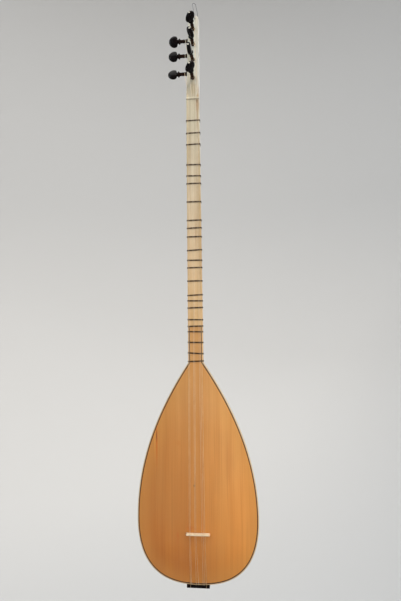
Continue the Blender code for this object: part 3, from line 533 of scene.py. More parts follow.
def store(mesh, name, values):
    """One number, or one vector, for each vertex."""
    if isinstance(values[0], (tuple, list, Vector)):
        data = mesh.attributes.new(name, 'FLOAT_VECTOR', 'POINT').data
        data.foreach_set("vector", [c for v in values for c in v])
    else:
        data = mesh.attributes.new(name, 'FLOAT', 'POINT').data
        data.foreach_set("value", values)


def temp(mesh):
    obj = bpy.data.objects.new("working", mesh)
    bpy.context.scene.collection.objects.link(obj)
    return obj


def settled(obj):
    """The mesh that an object's modifiers give; the object goes."""
    dg = bpy.context.evaluated_depsgraph_get()
    mesh = bpy.data.meshes.new_from_object(obj.evaluated_get(dg), depsgraph=dg)
    bpy.data.objects.remove(obj)
    return mesh


def carve(mesh, tools):
    obj = temp(mesh)
    others = [temp(t) for t in tools]
    for other in others:
        mod = obj.modifiers.new("cut", 'BOOLEAN')
        mod.operation, mod.solver, mod.object = 'DIFFERENCE', 'EXACT', other
    out = settled(obj)
    for other in others:
        bpy.data.objects.remove(other)
    return out


def soften(mesh, width, segments=3, angle=30.0):
    obj = temp(mesh)
    mod = obj.modifiers.new("round", 'BEVEL')
    mod.width, mod.segments, mod.limit_method, mod.angle_limit = width * MM, segments, 'ANGLE', math.radians(angle)
    mod.harden_normals = False
    return settled(obj)


def block(name, x0, x1, y0, y1, z0, z1):
    ring = [(x0, y0), (x1, y0), (x1, y1), (x0, y1)]
    return build(name, [[(x, y, z) for x, y in ring] for z in (z0, z1)])


def drill(point, out, near, far, depth, back=3.0, sides=48):
    """Tapered drill going in along -out; near and far are its radii at the surface and at its depth."""
    out = Vector(out).normalized()
    a = out.orthogonal().normalized()
    b = out.cross(a)
    slope = (near - far) / depth
    rings = []
    for s, r in ((back, near + slope * back), (-depth, far)):
        c = Vector(point) + out * s
        rings.append([c + (a * math.cos(math.tau * i / sides) + b * math.sin(math.tau * i / sides)) * r
                      for i in range(sides)])
    return build("drill", rings)


def rod(points, radius, sides=16):
    """Straight-sided tool round a few points, for grooves."""
    rings = []
    pts = [Vector(p) for p in points]
    d = (pts[-1] - pts[0]).normalized()
    a = d.orthogonal().normalized()
    b = d.cross(a)
    for p in pts:
        rings.append([p + (a * math.cos(math.tau * i / sides) + b * math.sin(math.tau * i / sides)) * radius
                      for i in range(sides)])
    return build("rod", rings)


def put(name, data, mat, body, replaced=(), smooth=None, matrix=None):
    obj = bpy.data.objects.new(name, data)
    bpy.context.scene.collection.objects.link(obj)
    data.materials.clear()
    data.materials.append(mat)
    if smooth is not None:
        data.shade_smooth()
        data.set_sharp_from_angle(angle=math.radians(smooth))
    if matrix is not None:
        obj.matrix_world = matrix
    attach(obj, body)
    if replaced:
        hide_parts(*replaced)
    return obj


def wires(name, routes, sides=3):
    """Curve object of round wires; routes are (points in mm, radius in mm)."""
    curve = bpy.data.curves.new(name, 'CURVE')
    curve.dimensions = '3D'
    thick = max(r for _, r in routes)
    curve.bevel_depth = thick * MM
    curve.bevel_resolution = sides
    curve.use_fill_caps = True
    for points, radius in routes:
        spline = curve.splines.new('POLY')
        spline.points.add(len(points) - 1)
        for slot, p in zip(spline.points, points):
            slot.co = (*row(p), 1.0)
            slot.radius = radius / thick
    return curve


def eased(points, radius, steps=6):
    """Straight runs with rounded corners."""
    pts = [Vector(p) for p in points]
    out = [pts[0]]
    for a, b, c in zip(pts, pts[1:], pts[2:]):
        d0, d1 = (a - b), (c - b)
        reach = min(radius, d0.length * 0.45, d1.length * 0.45)
        p, q = b + d0.normalized() * reach, b + d1.normalized() * reach
        for k in range(steps + 1):
            t = k / steps
            out.append(p * (1 - t) ** 2 + b * 2 * t * (1 - t) + q * t * t)
    out.append(pts[-1])
    return out


def smooth_curve(keys, at):
    """Monotone-ish cubic through (place, value...) keys, read at one place."""
    keys = list(keys)
    if at <= keys[0][0]:
        return list(keys[0][1:])
    if at >= keys[-1][0]:
        return list(keys[-1][1:])
    i = max(k for k in range(len(keys) - 1) if keys[k][0] <= at)
    x0, x1 = keys[i][0], keys[i + 1][0]
    h = x1 - x0
    t = (at - x0) / h
    values = []
    for c in range(1, len(keys[0])):
        def slope(k):
            if k <= 0 or k >= len(keys) - 1:
                j = 0 if k <= 0 else len(keys) - 2
                return (keys[j + 1][c] - keys[j][c]) / (keys[j + 1][0] - keys[j][0])
            a = (keys[k][c] - keys[k - 1][c]) / (keys[k][0] - keys[k - 1][0])
            b = (keys[k + 1][c] - keys[k][c]) / (keys[k + 1][0] - keys[k][0])
            return 0.0 if a * b <= 0 else 2 * a * b / (a + b)
        m0, m1 = slope(i) * h, slope(i + 1) * h
        y0, y1 = keys[i][c], keys[i + 1][c]
        values.append((2 * t ** 3 - 3 * t * t + 1) * y0 + (t ** 3 - 2 * t * t + t) * m0
                      + (-2 * t ** 3 + 3 * t * t) * y1 + (t ** 3 - t * t) * m1)
    return values


# ---------------------------------------------------------------- curves of the instrument

def bezier(seg, t):
    a, b, c, d = seg
    k = 1.0 - t
    return tuple(k * k * k * a[i] + 3 * k * k * t * b[i] + 3 * k * t * t * c[i] + t * t * t * d[i] for i in range(2))


def along(segs, u):
    return bezier(segs[0], u) if u <= 1.0 else bezier(segs[1], u - 1.0)


def reach_at(segs, z):
    seg = segs[0] if z >= segs[0][3][1] else segs[1]
    low, high = 0.0, 1.0
    for _ in range(46):
        mid = 0.5 * (low + high)
        if bezier(seg, mid)[1] > z:
            low = mid
        else:
            high = mid
    return bezier(seg, 0.5 * (low + high))[0]


def rim_point(u, inset):
    x, z = along(OUTLINE, u)
    a = along(OUTLINE, max(u - 1e-3, 0.0))
    b = along(OUTLINE, min(u + 1e-3, 2.0))
    tx, tz = b[0] - a[0], b[1] - a[1]
    size = math.hypot(tx, tz)
    return x + tz / size * inset, z - tx / size * inset


def rim_z(x):
    """Height of the outline's tail end at distance x from the middle."""
    low, high = 1.0, 2.0
    for _ in range(46):
        mid = 0.5 * (low + high)
        if along(OUTLINE, mid)[0] > abs(x):
            low = mid
        else:
            high = mid
    return along(OUTLINE, 0.5 * (low + high))[1]


DEEP = {}


def bowl_point(u, phi):
    x, z = along(OUTLINE, u)
    if z not in DEEP:
        DEEP[z] = max(reach_at(PROFILE, z), UNDER)
    deep = DEEP[z]
    return Vector((x * math.cos(phi), UNDER + (deep - UNDER) * math.sin(phi), z))


def bowl_normal(u, phi):
    du = bowl_point(min(u + 2e-3, 1.985), phi) - bowl_point(max(u - 2e-3, 0.0), phi)
    dp = bowl_point(u, phi + 2e-3) - bowl_point(u, phi - 2e-3)
    n = du.cross(dp).normalized()
    return n if n.dot(Vector((math.cos(phi), math.sin(phi), 0.0))) > 0 else -n


def share(z):
    return min(max(-z / -JOINT_Z, 0.0), 1.0)


def neck_half(z):
    return 13.9 + 1.6 * share(z)


def neck_deep(z):
    t = share(z)
    return 21.5 + 3.0 * t + 2.5 * max(0.0, (t - 0.86) / 0.14) ** 2


def face_y(z):
    return max(z - 6.0, 0.0) * math.tan(TILT)


def head_half(z):
    return 12.9 - (z - 50.0) * 0.0103


def head_deep(z):
    return 18.0 - 0.8 * (z - 44.0) / 153.0


def section(z, w, y, t, rf, rx, ry, corner=6, back=44):
    """Closed section of the neck or peghead: two front corners and a rounded back."""
    pts = []
    for i in range(corner + 1):
        a = math.pi / 2 * i / corner
        pts.append((-w + rf - rf * math.cos(a), y + rf - rf * math.sin(a), z))
    for i in range(corner + 1):
        a = math.pi / 2 * i / corner
        pts.append((w - rf + rf * math.sin(a), y + rf - rf * math.cos(a), z))
    for i in range(back + 2):
        k = i if i <= back // 2 else i - 1
        side = 1 if i <= back // 2 else -1
        a = math.pi * k / back
        pts.append((side * (w - rx) + rx * math.cos(a), y + t - ry + ry * math.sin(a), z))
    return pts


def neck_section(z, grow=0.0, corner=6, back=44):
    w, t = neck_half(z) + grow, neck_deep(z) + 2 * grow
    return section(z, w - 1e-4, -grow, t, 1.0 + grow, w - 2e-4, t - grow - UNDER, corner, back)


HEAD_KEYS = ((3.0, 13.9, 21.5, 1.0, 13.9, 18.0), (10.0, 13.75, 20.4, 1.2, 12.6, 15.0),
             (18.0, 13.5, 19.2, 1.8, 9.0, 9.5), (30.0, 13.15, 18.3, 2.6, 5.5, 5.5),
             (44.0, head_half(44.0), 18.0, 3.0, 4.0, 4.0))


# ---------------------------------------------------------------- neck

# the warm tint down the neck is painted warm light; the marks include painted light on the upper neck and peghead
NECK_WOOD = pale_wood("neck_hornbeam", (0.680, 0.635, 0.515), "object", 1.0,
                      warm=(-700.0, -270.0, (1.24, 0.89, 0.56)), marks_and_painted_light=True)


def make_neck():
    rings = []
    for z, w, y, t in ((-590.0, 4.4, 7.0, 8.0), (-551.6, 6.0, 6.0, 13.0)):
        rings.append(section(z, w, y, t, 1.0, 3.0, 3.0))
    zs = [-551.45, -549.0, -545.0, -540.0, -533.0, -525.0, -515.0, -503.0, -490.0]
    zs += [-475.0 + 25.0 * i for i in range(19)] + [-12.0, -4.0, 3.0]
    for z in zs:
        rings.append(neck_section(z))
    for z in (5.0, 7.5, 10.0, 13.0, 16.0, 19.0, 23.0, 27.0, 31.0, 36.0, 40.0):
        w, t, rf, rx, ry = smooth_curve(HEAD_KEYS, z)
        rings.append(section(z, w, face_y(z), t, rf, rx, ry))
    for z in (44.0, 70.0, 100.0, 130.0, 160.0, 190.0, 196.0):
        rings.append(section(z, head_half(z), face_y(z), head_deep(z), 3.0, 4.0, 4.0))
    for k in range(1, 8):
        a = math.pi / 2 * k / 8
        z = 196.0 + 8.0 * math.sin(a)
        off = 3.6 * (1 - math.cos(a))
        t = head_deep(196.0) - 2 * off * 0.62
        w = head_half(196.0) - off
        rings.append(section(z, w, face_y(z) + off * 0.62, t, min(3.0, w * 0.4), 4.0, min(4.0, t * 0.4)))
    mesh = build("neck", rings)
    tools = [block("t", -20, 20, -3, 3.0, 0.0, 4.0), block("t", -13.3, 13.3, -3, 1.6, -553.0, TONGUE_TOP + 0.3)]
    for i in range(4):
        tools.append(drill(*peg_base("face", i), 4.0, 3.40, 22.0))
    for i in range(3):
        tools.append(drill(*peg_base("side", i), 4.0, 3.25, 30.0))
    tools.append(drill((HANG_HOLE[0], face_y(HANG_HOLE[1]), HANG_HOLE[1]), OUT, 1.5, 1.5, 22.0, sides=24))
    mesh = carve(mesh, tools)
    return put("neck_and_peghead", mesh, NECK_WOOD, "instrument", ["neck"], 35)


# ---------------------------------------------------------------- nut and tongue

def string_route(i):
    """Points a string runs through, from its peg to the tailpiece."""
    kind, peg = STRING_PEG[i]
    r = STRING_R[i]
    nut = Vector((STRING_AT_NUT[i], NUT_TOP - 0.10 - r * 0.4, 2.0))
    reach = 3.46 + r
    base, out = peg_base(kind, peg)
    if kind == "face":
        start = [base + out * WIND_HEIGHT + Vector((reach, 0, 0))]
    else:
        z = base.z
        end = base + Vector((-WIND_HEIGHT, -reach, 0))
        part = 0.72 if peg == 0 else (0.62 if peg == 1 else 0.5)
        ze = z * part
        start = [end, Vector((-head_half(ze) + 0.6, face_y(ze) - 0.05 - r, ze))]
    bridge = Vector((STRING_AT_BRIDGE[i], BRIDGE_TOP - 0.10 - r * 0.3, BRIDGE_Z - 4.5))
    half, front, back, low = TAILPIECE
    x = STRING_AT_TAIL[i]
    y = front + 0.75 - r
    tail = [Vector((x, y, TAIL_Z + 0.9)), Vector((x, y, low + 0.4)), Vector((x, y + 1.2, low - 0.1 - r)),
            Vector((x, 4.6, low - 0.1 - r)), Vector((x, 6.4, low + 1.4))]
    return start + [nut, bridge] + tail


def make_nut():
    mesh = block("nut", -13.92, 13.92, NUT_TOP, 2.75, 0.05, 3.95)
    mesh = soften(mesh, 0.7, 4)
    tools = []
    for i in range(7):
        pts = string_route(i)
        k = len(pts) - 6
        before, at, after = pts[k - 1], pts[k], pts[k + 1]
        a, b = (before - at).normalized(), (after - at).normalized()
        tools.append(rod([at + a * 6, at, at + b * 6], STRING_R[i] + 0.05))
    mesh = carve(mesh, tools)
    put("nut_shaped", mesh, bone(), "instrument", ["nut"], 35)


def make_tongue():
    z1 = TONGUE_TOP - 1.2
    mesh = block("tongue", -TONGUE_SIDE, TONGUE_SIDE, 0.0, TONGUE_DEEP, JOINT_Z - 0.5, z1)
    put("tongue_plate", mesh, top_wood("tongue_spruce", False), "instrument", ["neck_tongue"])
    a, b = TONGUE_SIDE, 13.28
    top = TONGUE_TOP + 0.28
    path = [(b, JOINT_Z - 0.5), (b, top), (-b, top), (-b, JOINT_Z - 0.5), (-a, JOINT_Z - 0.5), (-a, z1), (a, z1),
            (a, JOINT_Z - 0.5)]
    verts = [row((x, y, z)) for y in (0.0, TONGUE_DEEP) for x, z in path]
    n = len(path)
    faces = [tuple(range(n)), tuple(range(2 * n - 1, n - 1, -1))]
    faces += [(i, (i + 1) % n, n + (i + 1) % n, n + i) for i in range(n)]
    mesh = bpy.data.meshes.new("line")
    mesh.from_pydata([tuple(v) for v in verts], [], faces)
    outwards(mesh)
    put("tongue_line", mesh, LINE_WOOD, "instrument", ["tongue_purfling"])


# ---------------------------------------------------------------- soundboard and its edge

def half_us():
    return [i / 56.0 for i in range(57)] + [1.0 + i / 56.0 for i in range(1, 57)]


def edge_loop(inset):
    """Outline from the joint on the treble side round the tail to the other side, ending on the joint line."""
    first = {0.0: 15.6, 0.5: 15.1, 1.9: 13.38, LINE_IN: TONGUE_SIDE}[inset]
    half = [(first, JOINT_Z)] + [rim_point(u, inset) for u in half_us()]
    half = [p for k, p in enumerate(half) if k == 0 or p[1] < JOINT_Z - 0.02]
    return half + [(-x, z) for x, z in reversed(half[:-1])]


def make_board():
    cx, cz = BOARD_TOP
    edge, full = edge_loop(LINE_IN), edge_loop(0.5)
    if len(full) != len(edge):
        full = full[:1] + full[len(full) - len(edge) + 1:] if len(full) > len(edge) else full
    def closed(loop, width):
        return loop + [(-width + 2 * width * k / 8.0, JOINT_Z) for k in range(1, 8)]

    edge, full = closed(edge, TONGUE_SIDE), closed(full, 15.1)
    count = len(edge)
    verts, rims = [], []

    def ring(points, y, s):
        for x, z in points:
            verts.append(row((x, y, z)))
            rims.append(s)

    def scaled(s):
        return [(cx + (x - cx) * s, cz + (z - cz) * s) for x, z in edge]

    steps = [0.06, 0.14, 0.24, 0.34, 0.44, 0.54, 0.63, 0.72, 0.80, 0.87, 0.93, 0.97]
    for s in steps:
        ring(scaled(s), -BOARD_ARCH * (1 - s * s), s)
    ring(edge, 0.0, 1.0)
    ring(edge, RABBET, 1.0)
    ring(full, RABBET, 1.0)
    ring(full, BOARD_THICK, 1.0)
    for s in (0.75, 0.5, 0.25):
        ring(scaled(s), BOARD_THICK - BOARD_ARCH * (1 - s * s), s)
    rows = len(verts) // count
    faces = []
    for r in range(rows - 1):
        a, b = r * count, (r + 1) * count
        for i in range(count):
            j = (i + 1) % count
            faces.append((a + i, a + j, b + j, b + i))
    front, back = len(verts), len(verts) + 1
    verts += [row((cx, -BOARD_ARCH, cz)), row((cx, BOARD_THICK - BOARD_ARCH, cz))]
    rims += [0.0, 0.0]
    last = (rows - 1) * count
    for i in range(count):
        j = (i + 1) % count
        faces += [(j, i, front), (last + i, last + j, back)]
    mesh = bpy.data.meshes.new("soundboard")
    mesh.from_pydata([tuple(v) for v in verts], [], faces)
    outwards(mesh)
    store(mesh, "edge", rims)
    put("soundboard_plate", mesh, top_wood("soundboard_spruce"), "instrument", ["soundboard"], 30)

    ribbons = (("body_line", 1.9, LINE_IN, LINE_WOOD, "purfling", "body_purfling"),
               ("edge_strip", 0.0, 1.9, EDGE_WOOD, "binding_wood", "edge_binding"))
    for name, outer, inner, mat, slot, node in ribbons:
        a, b = edge_loop(outer), edge_loop(inner)
        n = min(len(a), len(b))
        a, b = [a[0]] + a[len(a) // 2 - n // 2 + 1:len(a) // 2 + n // 2] + [a[-1]], \
               [b[0]] + b[len(b) // 2 - n // 2 + 1:len(b) // 2 + n // 2] + [b[-1]]
        rings, grain, run = [], [], 0.0
        for k, ((xo, zo), (xi, zi)) in enumerate(zip(a, b)):
            if k:
                run += math.hypot(xo - a[k - 1][0], zo - a[k - 1][1])

            def at(s, y):
                """s is 0 at the outer side and 1 at the inner side."""
                grain.append(((inner - outer) * s * MM, y * MM, run * MM))
                return (xo + (xi - xo) * s, y, zo + (zi - zo) * s)

            if outer == 0.0:
                # outer edge rounded over, and a lip in front of the board's own edge
                ring = [at(1.0, 0.0), at(0.46, 0.0), at(0.24, 0.09), at(0.09, 0.30), at(0.0, 0.75), at(0.0, 3.42),
                        at(0.22, 3.42), at(0.22, 1.55), at(1.0, 1.55)]
            else:
                ring = [at(1.0, 0.0), at(0.0, 0.0), at(0.0, 1.55), at(1.0, 1.55)]
            rings.append(ring)
        mesh = build(name, rings)
        store(mesh, "grain", grain)
        put(name, mesh, mat, "instrument", [node], 40)


# ---------------------------------------------------------------- bowl

def make_bowl():
    us = [i / 30.0 for i in range(31)] + [1.0 + (CAP_U - 1.0) * i / 22.0 for i in range(1, 23)]
    step = math.pi / STAVES
    for index in range(STAVES):
        rings, grain, seams, run, last = [], [], [], 0.0, None
        mid = (index + 0.5) * step
        for u in us:
            here = bowl_point(u, mid)
            if last is not None:
                run += (here - last).length
            last = here
            size = max((bowl_point(u, mid + 0.01) - bowl_point(u, mid - 0.01)).length / 0.02, 0.5)
            a, b = index * step, (index + 1) * step
            small = 0.03 / size
            a += 0.0 if index == 0 else small
            b -= 0.0 if index == STAVES - 1 else small
            lip = min(0.45 / size, (b - a) * 0.15)
            angles = [a, a + lip, a + 2.2 * lip]
            angles += [a + 2.2 * lip + (b - a - 4.4 * lip) * k / 9.0 for k in range(1, 9)]
            angles += [b - 2.2 * lip, b - lip, b]
            outer, inner = [], []
            for k, phi in enumerate(angles):
                p = bowl_point(u, phi)
                n = Vector((0, 0, -1)) if u == CAP_U else bowl_normal(u, phi)
                if index == 0 and k == 0 or index == STAVES - 1 and k == len(angles) - 1:
                    n.y = 0.0
                    n.normalize()
                off = min(phi - index * step, (index + 1) * step - phi) * size
                sink = 0.10 * max(0.0, 1.0 - off / 0.5) if 0 < index < STAVES - 1 or off > 0.01 else 0.0
                drop = UNDER - 0.06 if p.y <= UNDER + 1e-6 else p.y
                p = Vector((p.x, drop, p.z))
                outer.append(p - n * sink)
                inner.append(p - n * STAVE_THICK)
                place = ((phi - mid) * size * MM, 0.0, run * MM)
                grain.append(place)
                seams.append(off)
            for k in reversed(range(len(angles))):
                phi = angles[k]
                grain.append(((phi - mid) * size * MM, STAVE_THICK * MM, run * MM))
                seams.append(5.0)
            rings.append(outer + inner[::-1])
        mesh = build("stave", rings)
        store(mesh, "grain", grain)
        store(mesh, "seam", seams)
        tone = (1.0, 0.95, 1.03, 0.97, 1.05, 0.94, 1.02, 0.96, 1.0)[index]
        mat = pale_wood("bowl_stave_%d" % (index + 1), (0.71, 0.565, 0.375), "grain", 11.0 + 3.7 * index,
                        seam=True, tone=tone)
        put("stave_%d_bent" % (index + 1), mesh, mat, "instrument", ["stave_%d" % (index + 1)], 30)

    steps = 40

    def cap_ring(u, shrink, z=None):
        pts = []
        for i in range(steps + 1):
            phi = math.pi * i / steps
            p = bowl_point(u, phi)
            pts.append((p.x - shrink * math.cos(phi), max(p.y - shrink * math.sin(phi), UNDER - 0.06),
                        p.z if z is None else z))
        return pts

    flat = TAIL_Z + 5.2
    rings = [cap_ring(CAP_U, 0.06, flat), cap_ring(CAP_U, 0.06), cap_ring(CAP_U + 0.004, 0.0)]
    rings += [cap_ring(u, 0.0) for u in (1.765, 1.78, 1.80, 1.82, 1.84, 1.86, 1.88, 1.90, 1.92, 1.94, 1.955)]
    mesh = build("tail_cap", rings)
    mesh = carve(mesh, [drill((0, HOLE_Y, TAIL_Z - 1.0), (0, 0, -1), HOLE_R, HOLE_R, 30.0, 10.0, 72),
                        drill((0, HOLE_Y, TAIL_Z + 0.4), (0, 0, -1), HOLE_R + 1.2, HOLE_R - 1.6, 3.0, 2.0, 72)])
    put("tail_cap_shaped", mesh, pale_wood("cap_wood", (0.66, 0.50, 0.31), "object", 31.0), "instrument",
        ["tail_cap"], 30)


# ---------------------------------------------------------------- bridge and tailpiece

def make_bridge():
    foot = -BOARD_ARCH - 0.20
    h = BRIDGE_HALF
    low = [(-h, foot), (-h + 9.0, foot)]
    for x0, x1, up in ((-h + 9.0, -6.0, 2.6), (-6.0, 6.0, 0.0), (6.0, h - 9.0, 2.6)):
        for k in range(1, 9):
            t = k / 8.0
            x = x0 + (x1 - x0) * t
            if up and x < 0:
                y = foot - 0.7 * math.sin(math.pi / 2 * min(1.0, t * 1.25)) ** 1.4
            elif up:
                y = foot - 0.7 * math.sin(math.pi / 2 * min(1.0, (1 - t) * 1.25)) ** 1.4
            else:
                y = foot - 0.7
            low.append((x, y))
    low += [(h, foot)]
    top = [(h, BRIDGE_TOP + 0.0)]
    for k in range(1, 24):
        x = h - 2 * h * k / 24.0
        top.append((x, BRIDGE_TOP - 0.18 * (1 - (x / h) ** 2) + 0.18))
    top.append((-h, BRIDGE_TOP + 0.0))
    side = low + top
    rings = []
    for sign in (1.0, -1.0):
        ring = []
        for x, y in side:
            k = (y - foot) / (BRIDGE_TOP - foot)
            ring.append((x + BRIDGE_X, y, BRIDGE_Z + sign * (2.3 - 1.1 * k)))
        rings.append(ring)
    mesh = soften(build("bridge", rings), 0.45, 3, 40.0)
    tools = []
    for i in range(7):
        pts = string_route(i)
        k = len(pts) - 6
        nut, at = pts[k - 1], pts[k]
        d = (nut - at).normalized()
        tools.append(rod([at - d * 3, at + d * 14], STRING_R[i] + 0.12))
    mesh = carve(mesh, tools)
    put("bridge_shaped", mesh, bridge_wood(), "bridge", ["bridge"], 35)


def make_tailpiece():
    half, front, back, low = TAILPIECE
    xs = [-half + 2 * half * k / 40.0 for k in range(41)]
    rings = []
    for x in xs:
        top = rim_z(x) - 0.12
        pull = 1.0 - (abs(x) / half) ** 14 * 0.25
        rings.append([(x, front, top), (x, back, top - 0.4), (x, back * pull, low + 0.6), (x, back * pull - 0.8, low),
                      (x, front + 0.2, low)])
    mesh = soften(build("tailpiece", rings), 0.55, 3, 35.0)
    tools = []
    for i in range(7):
        x, r = STRING_AT_TAIL[i], STRING_R[i]
        y = front + 0.75 - r
        tools.append(rod([(x, y, TAIL_Z + 3), (x, y, low - 2)], r + 0.16))
        tools.append(rod([(x, front - 1.0, low - 0.02), (x, 7.0, low - 0.02)], r + 0.22))
    mesh = carve(mesh, tools)
    put("tailpiece_shaped", mesh, black_wood("tailpiece_wood", 9.0, 0.16), "instrument",
        ["tailpiece"], 35)


# ---------------------------------------------------------------- strings and their ends

def make_strings():
    plain = steel("string_plain", (0.88, 0.77, 0.60), (0.68, 0.56, 0.40), 0.32)
    wound = steel("string_wound", (0.86, 0.67, 0.43), (0.62, 0.45, 0.27), 0.36, 0.16)
    # painted shade: the windings get a much darker copy of the string steel, as the coils lie in shadow
    winding_steel_painted_shade = steel("string_coiled", (0.16, 0.13, 0.10), (0.08, 0.06, 0.045), 0.40)
    for i in range(7):
        r = STRING_R[i]
        pts = string_route(i)
        line = eased(pts, 1.4, 5)
        # a fine wire needs points along its long straight run too
        dense = [line[0]]
        for a, b in zip(line, line[1:]):
            n = max(1, int((b - a).length / 40.0))
            dense += [a + (b - a) * (k / n) for k in range(1, n + 1)]
        routes = [(dense, r)]
        # the end loop is closed by twisting the wire round itself above the tailpiece
        tail, bridge = pts[-5], pts[-6]
        d = (bridge - tail).normalized()
        a = d.orthogonal().normalized()
        b = d.cross(a)
        turns, pitch, thin = 9, 0.95, 0.15
        twist = []
        for k in range(turns * 10 + 1):
            th = math.tau * k / 10
            c = tail + d * (0.6 + pitch * k / 10)
            twist.append(c + (a * math.cos(th) + b * math.sin(th)) * (r + thin * 0.9))
        routes.append((twist, thin))
        mat = wound if r > 0.25 else plain
        put("string_%d_wire" % (i + 1), wires("string", routes), mat, "instrument",
            ["string_%d" % (i + 1)])

        kind, peg = STRING_PEG[i]
        base, out = peg_base(kind, peg)
        e1 = Vector((1, 0, 0)) if kind == "face" else Vector((0, -1, 0))
        e2 = (UP if kind == "face" else Vector((0, 0, 1)))
        e1 = (e1 - out * e1.dot(out)).normalized()
        e2 = (e2 - out * e2.dot(out) - e1 * e2.dot(e1)).normalized()
        pitch = 2 * r + 0.03
        turns = min(5.25, (WIND_HEIGHT - 3.5) / pitch + 0.25)
        coil = []
        n = int(turns * 26)
        reach = 3.46 + r
        for k in range(n + 1):
            th = turns * math.tau * k / n
            lay = WIND_HEIGHT - pitch * (turns * k / n)
            coil.append(base + out * lay + (e1 * math.cos(th) + e2 * math.sin(th)) * reach)
        th = turns * math.tau
        coil.append(base + out * (WIND_HEIGHT - pitch * turns) + (e1 * math.cos(th + 0.35) + e2 * math.sin(th + 0.35)) * 3.0)
        # the cut end comes out of the hole in the shank
        th = 2.3 + i * 0.8
        away = e1 * math.cos(th) + e2 * math.sin(th)
        turn = e1 * math.cos(th + 0.9) + e2 * math.sin(th + 0.9)
        stub = [base + out * 6.5 + away * 2.8, base + out * 6.5 + away * 4.6, base + out * 6.9 + away * 5.3 + turn * 0.7,
                base + out * 7.3 + away * 5.6 + turn * 1.9]
        put("winding_%d" % (i + 1), wires("winding", [(coil, r), (eased(stub, 0.6, 4), r)]), winding_steel_painted_shade,
            "peg_%s_%d" % (kind, peg + 1))


# ---------------------------------------------------------------- pegs

PEG_FOOT = ((0.2, 3.68, 3.68), (0.45, 4.05, 4.05), (0.9, 4.42, 4.42), (1.6, 4.52, 4.52), (2.2, 4.38, 4.38),
            (2.7, 3.85, 3.85), (3.1, 3.47, 3.47), (5.0, 3.44, 3.44), (7.1, 3.44, 3.44))
PEG_REST = ((7.6, 3.62, 3.62), (8.2, 3.92, 3.92), (9.0, 3.98, 3.98), (9.7, 3.86, 3.86), (10.3, 3.62, 3.62),
            (12.0, 3.56, 3.56), (14.5, 3.60, 3.60), (15.6, 3.72, 3.72), (16.2, 4.30, 4.30), (16.8, 5.20, 5.20),
            (17.5, 5.80, 5.80), (18.4, 6.02, 6.02), (19.3, 5.85, 5.85), (20.1, 5.25, 5.25), (20.7, 4.35, 4.35),
            (21.2, 3.82, 3.70), (21.6, 3.95, 3.62), (22.0, 4.90, 3.72), (22.5, 7.00, 3.95), (23.1, 9.00, 4.12),
            (24.0, 10.5, 4.26), (25.4, 11.75, 4.33), (27.4, 12.62, 4.32), (29.6, 12.90, 4.24), (31.8, 12.68, 4.12),
            (34.0, 11.98, 3.96), (36.2, 10.70, 3.74), (38.2, 8.85, 3.36), (39.8, 6.75, 2.86), (40.8, 4.80, 2.36),
            (41.3, 3.30, 1.98), (41.42, 1.95, 1.70), (41.5, 1.74, 1.56), (41.75, 1.70, 1.52), (42.05, 1.40, 1.26),
            (42.25, 0.90, 0.82), (42.3, 0.40, 0.36))


def peg_place(kind, index):
    point, out = peg_base(kind, index)
    turn = (PEG_FACE if kind == "face" else PEG_SIDE)[index][1]
    wide = Vector((1, 0, 0)) if kind == "face" else Vector((0, 0, 1))
    wide = Matrix.Rotation(math.radians(turn), 3, out) @ wide
    side = out.cross(wide).normalized()
    wide = side.cross(out)
    return Matrix.Translation(row(point)) @ Matrix((wide, side, out)).transposed().to_4x4()


def peg_form(shaft, extra):
    tip = 3.72 - 0.0333 * shaft
    wide = 0.92 if extra else 1.0
    keys = PEG_FOOT + tuple((s + extra, a * (wide if s > 22.2 else 1.0), b * (1.14 if s > 22.2 else 1.0))
                            for s, a, b in PEG_REST)
    end = 42.3 + extra
    around = 56
    places = [-shaft, -shaft + 0.25, -shaft + 0.7, -shaft * 0.5, 0.1]
    size = {-shaft: (tip - 0.55,) * 2, -shaft + 0.25: (tip - 0.16,) * 2, -shaft + 0.7: (tip,) * 2,
            -shaft * 0.5: (0.5 * (tip + 3.68),) * 2, 0.1: (3.68, 3.68)}
    s = 0.2
    while s < end - 0.05:
        places.append(s)
        s += 0.16 if s < 3.2 else (0.28 if 7.0 < s < 24.0 + extra else (0.55 if s < 38.0 + extra else (0.2 if s < 41.1 + extra else 0.09)))
    places.append(end)
    verts = []
    for s in places:
        a, b = size[s] if s in size else smooth_curve(keys, s)
        # the flat head is a little fuller than an ellipse
        full = 2.0 + 0.35 * min(max((s - extra - 21.5) / 3.0, 0.0), 1.0)
        for i in range(around):
            th = math.tau * i / around
            c, d = math.cos(th), math.sin(th)
            verts.append(Vector((a * math.copysign(abs(c) ** (2 / full), c), b * math.copysign(abs(d) ** (2 / full), d), s)) * MM)
    return stitch("peg", verts, len(places), around)


def make_pegs():
    for kind, count, shaft, extra in (("face", 4, 17.2, FACE_SHANK), ("side", 3, 22.6, 0.0)):
        for i in range(count):
            name = "peg_%s_%d" % (kind, i + 1)
            wood = peg_wood(name + "_wood", 3.0 * i + (0 if kind == "face" else 17.0), 42.3 + extra, 0.8 if kind == "face" else 0.4)
            put(name + "_turned", peg_form(shaft, extra), wood,
                name, [name], 50, peg_place(kind, i))


# ---------------------------------------------------------------- frets

